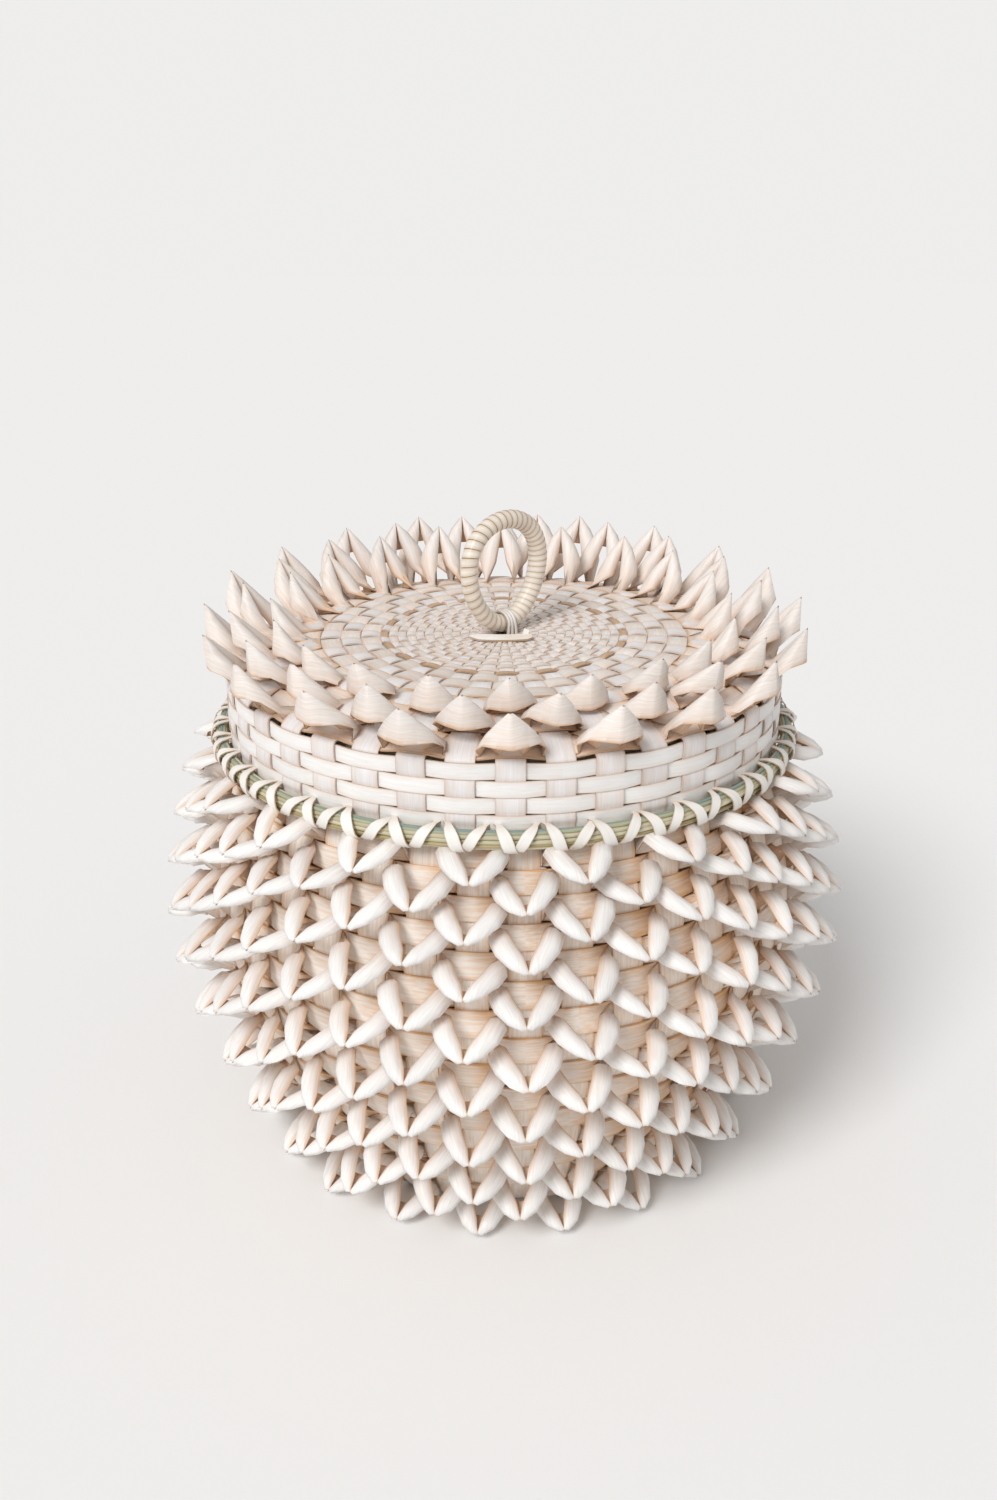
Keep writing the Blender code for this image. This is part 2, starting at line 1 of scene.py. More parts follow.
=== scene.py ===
"""Looks of the lidded splint basket.

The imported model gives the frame. Each class below weaves, curls, laces or winds one
sub-assembly of the real basket out of flat strips worked out as whole arrays, dresses it in
its finish, and puts it on the body that it moves with. A strip is a profile of a few corners
carried along a path; the over and under of the weave is a wave along that path.

Headings go round the vertical axis from the front (-Y) towards +X. A face of the basket is a
surface of revolution, and a "station" says where on its profile a row lies.
"""

import logging
import math
from dataclasses import dataclass
from enum import Enum
from typing import Callable, Sequence

import bpy
import numpy as np
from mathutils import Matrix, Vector


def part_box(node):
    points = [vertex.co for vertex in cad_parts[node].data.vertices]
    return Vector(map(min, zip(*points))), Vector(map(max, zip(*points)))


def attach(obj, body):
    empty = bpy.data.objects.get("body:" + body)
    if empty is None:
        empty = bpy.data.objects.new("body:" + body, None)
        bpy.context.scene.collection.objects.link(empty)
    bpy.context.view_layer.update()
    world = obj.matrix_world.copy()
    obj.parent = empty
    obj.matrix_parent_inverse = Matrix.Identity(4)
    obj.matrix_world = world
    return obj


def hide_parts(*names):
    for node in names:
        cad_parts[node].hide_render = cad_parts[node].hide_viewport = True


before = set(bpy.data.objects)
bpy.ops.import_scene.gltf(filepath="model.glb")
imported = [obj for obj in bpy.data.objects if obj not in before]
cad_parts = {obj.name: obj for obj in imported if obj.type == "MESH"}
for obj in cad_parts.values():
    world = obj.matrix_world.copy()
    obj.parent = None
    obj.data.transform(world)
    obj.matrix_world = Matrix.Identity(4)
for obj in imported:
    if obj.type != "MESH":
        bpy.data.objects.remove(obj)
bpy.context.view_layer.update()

LOG = logging.getLogger("basket")

Array = np.ndarray
Colour = tuple[float, float, float]
Pair = tuple[float, float]

MM = 0.001
UPRIGHTS = 40
CURLS = 20
ROUND = 2 * math.pi
PITCH = ROUND / UPRIGHTS
SHARP_CORNER = math.radians(72)
RISE = np.array([0.0, 0.0, 1.0])


class Body(Enum):
    """The bodies that pieces ride on."""

    BASKET = "basket"
    LID_HOOP = "lid_hoop"
    LID = "lid"
    HANDLE = "handle"


class Slot(Enum):
    """The record's material slots."""

    BODY = "splint_body"
    CURL = "splint_curl"
    WARM = "splint_warm"
    BROWN = "splint_brown"
    HOOP = "splint_hoop"
    LACING = "lacing"
    GRASS = "grass"
    WRAP = "handle_wrap"


# --- Shader sockets that take part in sums --------------------------------------------


def both_ways(operation: str) -> tuple[Callable, Callable]:
    """Return a wire's methods for self (operation) other and other (operation) self."""

    def ahead(self: "Wire", other: "Wire | float") -> "Wire":
        """Return self (operation) other."""
        return self.board.math(operation, self, other)

    def reflected(self: "Wire", other: float) -> "Wire":
        """Return other (operation) self."""
        return self.board.math(operation, other, self)

    return ahead, reflected


class Wire:
    """A number socket of a board's nodes that takes part in sums as a number does."""

    __add__, __radd__ = both_ways("ADD")
    __sub__, __rsub__ = both_ways("SUBTRACT")
    __mul__, __rmul__ = both_ways("MULTIPLY")
    __truediv__, __rtruediv__ = both_ways("DIVIDE")
    __pow__, __rpow__ = both_ways("POWER")

    def __init__(self, board: "Board", socket: bpy.types.NodeSocket) -> None:
        """Keep the output socket and the board it is on."""
        self.board, self.socket = board, socket

    def clipped(self) -> "Wire":
        """Return self held between 0 and 1."""
        return self.board.math("MINIMUM", self.board.math("MAXIMUM", self, 0.0), 1.0)

    def eased(self, low: float, high: float) -> "Wire":
        """Return a smooth step from 0 at low to 1 at high."""
        settings = {"interpolation_type": "SMOOTHSTEP"}
        inputs = {"Value": self, "From Min": low, "From Max": high}
        return Wire(self.board, self.board.node("ShaderNodeMapRange", settings, inputs).outputs["Result"])


Feed = Wire | bpy.types.NodeSocket | float | Sequence[float]


class Board:
    """The nodes of a material or of the world, with one shader at their end."""

    def __init__(self, owner: bpy.types.Material | bpy.types.World, shader: str) -> None:
        """Clear the owner's nodes and set its shader up.

        Args:
            owner: The material or world.
            shader: Type name of the shader's node.
        """
        owner.use_nodes = True
        self.tree = owner.node_tree
        self.tree.nodes.clear()
        self.shader = self.node(shader, {}, {})
        kind = "World" if isinstance(owner, bpy.types.World) else "Material"
        self.node(f"ShaderNodeOutput{kind}", {}, {"Surface": self.shader.outputs[0]})

    def node(self, kind: str, settings: dict[str, object], inputs: dict[str | int, Feed]) -> bpy.types.Node:
        """Add one node.

        Args:
            kind: The node's type name.
            settings: Its properties, set before its sockets.
            inputs: A value or a link for each named or numbered input.

        Returns:
            The node.
        """
        made = self.tree.nodes.new(kind)
        for name, value in settings.items():
            setattr(made, name, value)
        for name, value in inputs.items():
            self.feed(made.inputs[name], value)
        return made

    def feed(self, socket: bpy.types.NodeSocket, value: Feed) -> None:
        """Link a wire or socket to an input, or set the input's own number or colour."""
        if isinstance(value, Wire):
            value = value.socket
        if isinstance(value, bpy.types.NodeSocket):
            self.tree.links.new(value, socket)
        else:
            socket.default_value = (*value, 1.0) if socket.type == "RGBA" else value

    def shade(self, inputs: dict[str, Feed]) -> None:
        """Feed the shader's inputs."""
        for name, value in inputs.items():
            self.feed(self.shader.inputs[name], value)

    def math(self, operation: str, first: "Wire | float", second: "Wire | float") -> Wire:
        """Return the wire of one Math node."""
        made = self.node("ShaderNodeMath", {"operation": operation}, {0: first, 1: second})
        return Wire(self, made.outputs[0])

    def attribute(self, name: str) -> Wire:
        """Return a number that the mesh's corners carry."""
        made = self.node("ShaderNodeAttribute", {"attribute_name": name}, {})
        return Wire(self, made.outputs["Fac"])

    def strip_place(self) -> tuple[Wire, Wire]:
        """Return metres along and across the strip, from the piece's own UV map."""
        uv = self.node("ShaderNodeUVMap", {"uv_map": "strip"}, {})
        parts = self.node("ShaderNodeSeparateXYZ", {}, {0: uv.outputs["UV"]})
        return Wire(self, parts.outputs["X"]), Wire(self, parts.outputs["Y"])

    def noise(self, place: tuple[Wire, Wire], cells: Pair, seed: Wire, detail: float = 2.0) -> Wire:
        """Return noise from 0 to 1 on a strip.

        Args:
            place: Metres along and across the strip.
            cells: How many cells of noise a metre holds along and across it.
            seed: Third coordinate, which sets strips apart.
            detail: How many finer layers are added.

        Returns:
            The noise's wire.
        """
        spot = self.node("ShaderNodeCombineXYZ", {}, {0: place[0] * cells[0], 1: place[1] * cells[1], 2: seed})
        made = self.node("ShaderNodeTexNoise", {}, {"Vector": spot.outputs[0], "Scale": 1.0, "Detail": detail})
        return Wire(self, made.outputs["Fac"])

    def mix(self, share: Wire, first: Colour, second: Colour) -> bpy.types.NodeSocket:
        """Return a mix of two colours: the first at share 0, the second at 1."""
        made = self.node("ShaderNodeMix", {"data_type": "RGBA"}, {"Factor": share})
        for socket, colour in zip((s for s in made.inputs if s.type == "RGBA"), (first, second)):
            self.feed(socket, colour)
        return next(socket for socket in made.outputs if socket.type == "RGBA")

    def ramp(self, place: Wire, stops: Sequence[tuple[float, Colour]]) -> bpy.types.NodeSocket:
        """Return the colour at a place from 0 to 1 between stops of a place and a colour."""
        made = self.node("ShaderNodeValToRGB", {}, {"Fac": place})
        elements = made.color_ramp.elements
        for _ in stops[2:]:
            elements.new(0.5)
        for element, (spot, colour) in zip(elements, stops):
            element.position, element.color = spot, (*colour, 1.0)
        return made.outputs["Color"]

    def dress(
        self, colour: bpy.types.NodeSocket, light: Wire, roughness: Wire, height: Wire, relief: float
    ) -> None:
        """Feed the shader of a fibrous finish.

        Args:
            colour: Its colour.
            light: What the colour is multiplied by.
            roughness: Its roughness.
            height: Height of its relief, from 0 to 1.
            relief: How many metres a height of 1 is.
        """
        scaled = self.node("ShaderNodeVectorMath", {"operation": "SCALE"}, {0: colour, "Scale": light})
        bump = self.node("ShaderNodeBump", {}, {"Height": height, "Distance": relief, "Strength": 1.0})
        self.shade({"Base Color": scaled.outputs[0], "Roughness": roughness, "Normal": bump.outputs["Normal"]})


# --- Finishes -------------------------------------------------------------------------


@dataclass(frozen=True)
class SplintFinish:
    """Split ash wood: pale faces, warmer heartwood streaks and a long fine grain.

    The mesh carries "tone", lighter above 0 and darker below; "warmth", from 0 on open faces
    to 1 in the recesses, which mixes in the warm colour: partly the wood's own tan, and partly
    painted shade in the recesses, inside the curls and on the sides of the weave turned from
    the light; and "rim", 1 on the strip's edges, where a fine line is drawn, partly the edge's
    own colour and partly painted shade of the gap beside it. Cells are given for a metre along
    and across.
    """

    name: str
    pale: Colour
    warm: Colour
    warmth: float = 0.0
    streaks: float = 0.12
    patches: float = 0.30
    grain: float = 0.16
    edge: float = 0.55
    roughness: float = 0.48
    relief: float = 0.10 * MM
    fibre_cells: Pair = (150.0, 4200.0)
    streak_cells: Pair = (95.0, 1500.0)
    patch_cells: Pair = (60.0, 130.0)
    streak_step: Pair = (0.36, 0.64)
    seed_step: float = 9.0
    line_power: float = 14.0
    line_shade: float = 0.12
    tone_share: float = 0.05
    sheen: float = 0.18
    refraction: float = 1.42

    def material(self) -> bpy.types.Material:
        """Build the finish."""
        material = bpy.data.materials.new(self.name)
        board = Board(material, "ShaderNodeBsdfPrincipled")
        place = board.strip_place()
        tone, warmth, rim = (board.attribute(name) for name in ("tone", "warmth", "rim"))
        seed = tone * self.seed_step
        fibre = board.noise(place, self.fibre_cells, seed)
        streak = board.noise(place, self.streak_cells, seed + 3.0)
        patch = board.noise(place, self.patch_cells, seed + 7.0, detail=1.0)
        # The rim line darkens and warms the edges: partly their own colour, partly painted shade of the gap beside
        # them.
        line = rim**self.line_power
        # warmth mixes in painted shade from the recesses and shaded sides along with the wood's own tan.
        share = warmth + self.warmth + (streak.eased(*self.streak_step) - 0.5) * self.streaks
        share = share + (patch - 0.5) * self.patches + line * self.edge
        light = 1.0 + tone * self.tone_share + (fibre - 0.5) * self.grain - line * self.line_shade
        roughness = self.roughness + (fibre - 0.5) * self.sheen
        colour = board.mix(share.clipped(), self.pale, self.warm)
        board.dress(colour, light, roughness, fibre * 0.6 + streak * 0.4, self.relief)
        board.shade({"IOR": self.refraction})
        return material


@dataclass(frozen=True)
class GrassFinish:
    """Dried sweet grass: each blade has one of the ramp's colours, with fine ribs along it.

    Here the mesh's "warmth" says where on the ramp a blade's colour lies.
    """

    name: str
    blades: tuple[tuple[float, Colour], ...]
    roughness: float = 0.5
    relief: float = 0.12 * MM
    rib_cells: Pair = (40.0, 4200.0)
    drift_cells: Pair = (22.0, 90.0)
    drift: float = 0.34
    rib_shade: float = 0.45
    tone_share: float = 0.12
    sheen: float = 0.2

    def material(self) -> bpy.types.Material:
        """Build the finish."""
        material = bpy.data.materials.new(self.name)
        board = Board(material, "ShaderNodeBsdfPrincipled")
        place = board.strip_place()
        tone, kind = board.attribute("tone"), board.attribute("warmth")
        rib = board.noise(place, self.rib_cells, tone * 9.0)
        drift = board.noise(place, self.drift_cells, tone * 5.0, detail=1.0)
        colour = board.ramp((kind + (drift - 0.5) * self.drift).clipped(), self.blades)
        light = 1.0 + tone * self.tone_share + (rib - 0.5) * self.rib_shade
        board.dress(colour, light, self.roughness + (rib - 0.5) * self.sheen, rib, self.relief)
        return material


@dataclass(frozen=True)
class FloorFinish:
    """Plain pale paper under the basket."""

    name: str
    colour: Colour

    def material(self) -> bpy.types.Material:
        """Build the finish."""
        material = bpy.data.materials.new(self.name)
        board = Board(material, "ShaderNodeBsdfPrincipled")
        board.shade({"Base Color": self.colour, "Roughness": 1.0, "Specular IOR Level": 0.0})
        return material


PALE_SPLINT = SplintFinish(
    "pale_splint", (0.90, 0.84, 0.77), (0.78, 0.48, 0.25),
    warmth=0.03, streaks=0.36, patches=0.35, grain=0.26, edge=0.5,
)
CURL_SPLINT = SplintFinish(
    "curl_splint", (0.88, 0.86, 0.84), (0.74, 0.50, 0.33), streaks=0.16, patches=0.22, grain=0.30, edge=0.9
)
BAND_SPLINT = SplintFinish(
    "band_splint", (0.87, 0.86, 0.845), (0.71, 0.51, 0.37), warmth=0.02, patches=0.25, grain=0.14, edge=0.4
)
LID_SPLINT = SplintFinish(
    "lid_splint", (0.85, 0.825, 0.795), (0.67, 0.47, 0.33), streaks=0.16, grain=0.24, edge=0.3
)
SPOKE_SPLINT = SplintFinish("spoke_splint", (0.85, 0.84, 0.85), (0.65, 0.48, 0.36), grain=0.22, edge=0.35)
BROWN_SPLINT = SplintFinish(
    "brown_splint", (0.66, 0.47, 0.31), (0.44, 0.28, 0.17), warmth=0.15, streaks=0.3, grain=0.3, edge=0.3
)
HOOP_SPLINT = SplintFinish("hoop_splint", (0.74, 0.64, 0.51), (0.58, 0.43, 0.28), warmth=0.2)
LACE_SPLINT = SplintFinish(
    "lace_splint", (0.87, 0.85, 0.81), (0.60, 0.43, 0.28), streaks=0.1, patches=0.2, edge=0.9
)
WRAP_SPLINT = SplintFinish(
    "wrap_splint", (0.91, 0.86, 0.78), (0.60, 0.42, 0.25),
    streaks=0.1, patches=0.25, edge=0.6, roughness=0.30,
)
SWEET_GRASS = GrassFinish(
    "sweet_grass",
    (
        (0.0, (0.19, 0.13, 0.06)),
        (0.3, (0.42, 0.33, 0.16)),
        (0.55, (0.74, 0.68, 0.50)),
        (0.8, (0.44, 0.43, 0.26)),
        (1.0, (0.20, 0.27, 0.25)),
    ),
)
PAPER = FloorFinish("paper", (0.92, 0.915, 0.91))


# --- Strips and pieces ----------------------------------------------------------------


@dataclass
class Strands:
    """Strips that all have the same count of sections and of corners in a section.

    Section i of strand s has the corners places[s, i, :, :], in order round the profile: the
    outer face's first, from edge to edge, then the inner face's, back. run and span say how
    far along and across the strip each corner lies, the first one of both again at the end.
    outer is how many corners the outer face has, or 0 for half of them.
    """

    places: Array
    run: Array
    span: Array
    closed: bool
    tone: float | Array = 0.0
    warmth: float | Array = 0.0
    edged: bool = True
    outer: int = 0

    def faces(self) -> tuple[Array, Array]:
        """Join neighbouring sections corner by corner, and close open ends.

        The side face between sections i, i+1 and corners j, j+1 runs (i, j), (i+1, j),
        (i+1, j+1), (i, j+1), and starts one corner later on the inner side, so that both
        sides of a bent strip are split along the same diagonal. An end cap is a row of
        four-cornered faces across the profile.

        Returns:
            Corner numbers of each face, and the UV of each of their corners, both for every
            strand after the other.
        """
        strands, count, corners, _ = self.places.shape
        last = count if self.closed else count - 1
        i, j = (grid.ravel() for grid in np.meshgrid(np.arange(last), np.arange(corners), indexing="ij"))
        i2, j2 = (i + 1) % count * corners, (j + 1) % corners
        sides = np.stack([i * corners + j, i2 + j, i2 + j2, i * corners + j2], -1)
        along = np.stack([i, i + 1, i + 1, i], -1)
        across = np.stack([j, j, j + 1, j + 1], -1)
        inner = j >= (self.outer or corners // 2)
        for grid in (sides, along, across):
            grid[inner] = np.roll(grid[inner], -1, -1)
        if not self.closed:
            c = np.arange(corners // 2 - 1)
            near = np.stack([c, c + 1, corners - 2 - c, corners - 1 - c], -1)
            far = near[:, ::-1] + (count - 1) * corners
            sides = np.concatenate([sides, near, far])
            along = np.concatenate([along, np.zeros_like(near), np.full_like(near, count - 1)])
            across = np.concatenate([across, near, near[:, ::-1]])
        run = self.run if self.run.ndim == 3 else self.run[..., None]
        shape = (strands, run.shape[1], corners + 1)
        uvs = np.stack([np.broadcast_to(chart, shape)[:, along, across] for chart in (run, self.span)], -1)
        offsets = np.arange(strands)[:, None, None] * count * corners
        return (sides[None] + offsets).reshape(-1, 4), uvs.reshape(-1, 4, 2)

    def outward(self) -> tuple[Array, ...]:
        """Turn the faces so that they enclose a volume above 0.

        The volume is a sixth of the sum of the triple products of each triangle's corners.

        Returns:
            Points, faces, UVs, tone, warmth and rim, which is 1 on the strip's two edges.
        """
        points = self.places.reshape(-1, 3)
        faces, uvs = self.faces()
        a, b, c, d = (points[faces[:, k]] for k in range(4))
        if np.sum(a * np.cross(b, c)) + np.sum(a * np.cross(c, d)) < 0:
            faces, uvs = faces[:, ::-1], uvs[:, ::-1]
        shape = self.places.shape[:3]
        rim, outer = np.zeros(shape[2]), self.outer or shape[2] // 2
        rim[[0, outer - 1, outer, -1]] = float(self.edged)
        return points, faces, uvs, *(np.broadcast_to(v, shape).ravel() for v in (self.tone, self.warmth, rim))


class Workshop:
    """Puts strips into meshes, dresses them and hangs them on the frame."""

    def __init__(self) -> None:
        """Start with no finishes and no pieces made."""
        self.finishes: dict[str, bpy.types.Material] = {}
        self.made: list[str] = []

    def finish(self, finish: SplintFinish | GrassFinish | FloorFinish) -> bpy.types.Material:
        """Return a finish's material, made once."""
        if finish.name not in self.finishes:
            self.finishes[finish.name] = finish.material()
        return self.finishes[finish.name]

    def piece(
        self,
        name: str,
        parts: Sequence[Strands],
        finish: SplintFinish | GrassFinish,
        body: Body,
        slot: Slot,
        *nodes: str,
    ) -> None:
        """slot: The record's material slot; not used.
            nodes: The CAD nodes that it replaces.
        """
        layers, start = [], 0
        for part in parts:
            points, faces, *rest = part.outward()
            layers.append((points, faces + start, *rest))
            start += len(points)
        points, faces, uvs, tone, warmth, rim = (np.concatenate(layer) for layer in zip(*layers))
        mesh = bpy.data.meshes.new(name)
        mesh.vertices.add(len(points))
        mesh.vertices.foreach_set("co", points.astype(np.float32).ravel())
        mesh.loops.add(faces.size)
        mesh.loops.foreach_set("vertex_index", faces.astype(np.int32).ravel())
        mesh.polygons.add(len(faces))
        mesh.polygons.foreach_set("loop_start", np.arange(0, faces.size, 4, dtype=np.int32))
        mesh.polygons.foreach_set("use_smooth", np.ones(len(faces), bool))
        mesh.uv_layers.new(name="strip").data.foreach_set("uv", uvs.astype(np.float32).ravel())
        for label, values in (("tone", tone), ("warmth", warmth), ("rim", rim)):
            attribute = mesh.attributes.new(label, "FLOAT", "POINT")
            attribute.data.foreach_set("value", values.astype(np.float32))
        mesh.update(calc_edges=True)
        mesh.validate()
        mesh.set_sharp_from_angle(angle=SHARP_CORNER)
        mesh.materials.append(self.finish(finish))
        made = bpy.data.objects.new(name, mesh)
        bpy.context.scene.collection.objects.link(made)
        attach(made, body.value)
        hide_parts(*nodes)
        self.made.append(name)
        LOG.info("%s: %d faces, on %s", name, len(faces), body.value)


def polar(radius: float | Array, heading: Array, height: float | Array) -> Array:
    """Place = (r sin h, -r cos h, z), as the last axis of an array."""
    radius, heading, height = np.broadcast_arrays(radius, heading, height)
    return np.stack([radius * np.sin(heading), -radius * np.cos(heading), height], -1)


def unit(vectors: Array) -> Array:
    """Vectors divided by their own lengths."""
    return vectors / np.maximum(np.linalg.norm(vectors, axis=-1, keepdims=True), 1e-12)


def swung(first: Array, second: Array, angle: Array) -> tuple[Array, Array]:
    """Turn two crossed directions by an angle from the first towards the second."""
    cos, sin = np.cos(angle), np.sin(angle)
    return first * cos + second * sin, second * cos - first * sin


def crossing_wave(phase: Array) -> Array:
    """9/8 (cos p - cos 3p / 9): from 1 to -1 like a cosine, and flat where strips cross."""
    return 1.125 * (np.cos(phase) - np.cos(3 * phase) / 9)


def eased(value: Array) -> Array:
    """Smooth step 3v^2 - 2v^3 of a value held between 0 and 1."""
    held = np.clip(value, 0, 1)
    return held * held * (3 - 2 * held)


def wander(heading: Array, size: float, seed: int, waves: int = 6) -> Array:
    """A seeded drift round the circle: sines of 1, 2, 3 ... rounds with falling weights.

    Args:
        heading: Headings, in radians.
        size: How far it drifts.
        seed: Seed of the phases and weights.
        waves: How many sines.

    Returns:
        The drift at each heading.
    """
    rng = np.random.default_rng(seed)
    rounds = np.arange(1, waves + 1)
    phases, weights = rng.uniform(0, ROUND, waves), rng.normal(size=waves) / np.sqrt(rounds)
    return size * np.sum(weights * np.sin(heading[..., None] * rounds + phases), -1)


def lengths(centres: Array, closed: bool) -> Array:
    """Metres along each path, 0 at its first point, with the way back to it if closed."""
    path = np.concatenate([centres, centres[:, :1]], 1) if closed else centres
    steps = np.linalg.norm(np.diff(path, axis=1), axis=-1)
    return np.concatenate([np.zeros((len(path), 1)), np.cumsum(steps, 1)], 1)


def strip(
    centres: Array,
    across: Array,
    normals: Array,
    width: float | Array,
    thick: float,
    closed: bool,
    tone: float | Array = 0.0,
    warmth: float | Array = 0.0,
    edge: float = 0.0,
    crown: float = 0.0,
    lean: float = 0.0,
    cuts: int = 3,
    grain: float = 0.0,
) -> Strands:
    """Carry a flat profile along one or more middle lines.

    A corner at share f of the width, from -1/2 to 1/2, stands width * f across, and
    crown (1 - 4f^2) + lean * 2f, plus or minus half the thickness, along the normal.

    Args:
        centres: Middle lines, shaped (points, 3) or (strands, points, 3).
        across: Unit vectors across them.
        normals: Unit vectors out of the outer face.
        width: Width, one number or one for each point.
        thick: Thickness.
        closed: Whether the last section joins the first.
        tone: How light it is, one number or one for each point or strand.
        warmth: How warm its wood is, in the same way.
        edge: How much warmer its edges are: partly their own colour, partly painted shade of the gaps beside them.
        crown: How far its middle bulges.
        lean: How far one edge rises and the other sinks.
        cuts: How many faces lie across it.
        grain: Width that its grain is laid out for, or 0 for the widest place's.

    Returns:
        The strips.
    """
    shape = centres.shape
    centres, across, normals = (
        np.broadcast_to(rows, shape).reshape(-1, *shape[-2:])[:, :, None] for rows in (centres, across, normals)
    )
    share = np.linspace(-0.5, 0.5, cuts + 1)
    side = np.broadcast_to(width, centres.shape[:2])[..., None] * share
    rise = crown * (1 - 4 * share**2) + lean * 2 * share
    flat = centres + across * side[..., None]
    outer, inner = (flat + normals * (rise + half)[:, None] for half in (thick / 2, -thick / 2))
    corner = np.linspace(0.0, grain or float(np.max(width)), cuts + 1)
    span = np.concatenate([corner, corner[::-1], corner[:1]])
    face = np.zeros(cuts + 1)
    face[[0, -1]] = edge
    tone, warmth = (np.atleast_2d(value)[..., None] for value in (tone, warmth))
    places = np.concatenate([outer, inner[..., ::-1, :]], -2)
    return Strands(places, lengths(centres[:, :, 0], closed), span, closed, tone, warmth + np.tile(face, 2))


# --- Faces of the basket and what is woven on them ------------------------------------


@dataclass(frozen=True)
class Face:
    """A surface of revolution that rows are woven on.

    profile turns a station into a radius and a height. way is 1 where a strip's upper edge
    lies at higher stations, and -1 where it lies at lower ones.
    """

    profile: Callable[[Array], tuple[Array, Array]]
    way: float = 1.0

    def frame(self, heading: Array, station: float) -> tuple[Array, Array, Array, Array]:
        """Give the face's places and directions at one station.

        The up direction is the profile's slope, taken from places 0.01 mm either side, and
        the outward direction is along x up.

        Returns:
            Places, and unit vectors along the row, up across it and outward.
        """
        heading, station = np.broadcast_arrays(heading, station)
        step = 0.01 * MM
        radius, height = self.profile(station)
        (r0, z0), (r1, z1) = self.profile(station - step), self.profile(station + step)
        along = polar(1.0, heading + math.pi / 2, 0.0)
        up = polar(1.0, heading, 0.0) * (r1 - r0)[..., None] + RISE * (z1 - z0)[..., None]
        up = unit(self.way * up)
        return polar(radius, heading, height), along, up, np.cross(along, up)


@dataclass(frozen=True)
class Band:
    """Outer radius, lowest and highest height of a round CAD node."""

    radius: float
    low: float
    high: float

    @classmethod
    def of(cls, node: str) -> "Band":
        """Measure a node."""
        low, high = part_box(node)
        return cls(float(high.x), float(low.z), float(high.z))

    @property
    def middle(self) -> float:
        """Height of its middle."""
        return (self.low + self.high) / 2

    @property
    def height(self) -> float:
        """How high it stands."""
        return self.high - self.low


@dataclass(frozen=True)
class Weaver:
    """One ring of splint woven over and under the uprights.

    Its level is depth + swing * wave(20 (heading - turn)): over at the turn, under one
    upright further. Each of its 20 stretches over an upright has its own tone, and towards
    its right end it is painted warmer and darker, as painted shade where it turns away from
    the light to go under the next upright.
    """

    face: Face
    station: float
    turn: float
    width: float
    depth: float
    swing: float
    thick: float
    seed: int
    crown: float = 0.0
    cuts: int = 3
    steps: int = 8
    painted_side_shade: float = 0.0
    warm_base: float = 0.0
    warm_edge: float = 0.25
    drift: Pair = (0.02 * MM, 0.05 * MM)

    def strands(self) -> Strands:
        """Work the ring out as one closed strand.

        Three numbers are drawn for each stretch; the second one is spare.
        """
        count = UPRIGHTS * self.steps
        heading = self.turn + np.arange(count) * (ROUND / count)
        place, _, up, out = self.face.frame(heading, self.station)
        phase = CURLS * (heading - self.turn)
        level = self.depth + self.swing * crossing_wave(phase) + wander(heading, self.drift[0], self.seed)
        shift = wander(heading, self.drift[1], self.seed + 50)
        stretch, part = np.divmod(phase / ROUND + 0.5, 1.0)
        draws = np.random.default_rng(self.seed + 100).random((3, CURLS))
        tan, _, shade = draws[:, stretch.astype(int) % CURLS]
        # Painted shade: each stretch turns tan towards its right end, where the weave dips away from the light.
        warmth = self.warm_base + self.painted_side_shade * eased((part - 0.5) * 3.2 + 0.35) * (0.5 + 0.7 * tan)
        return strip(
            place + out * level[:, None] + up * shift[:, None], up, out, self.width, self.thick, True,
            wander(heading, 0.45, self.seed + 9) + 1.4 * shade - 0.7, warmth, self.warm_edge,
            crown=self.crown, cuts=self.cuts,
        )


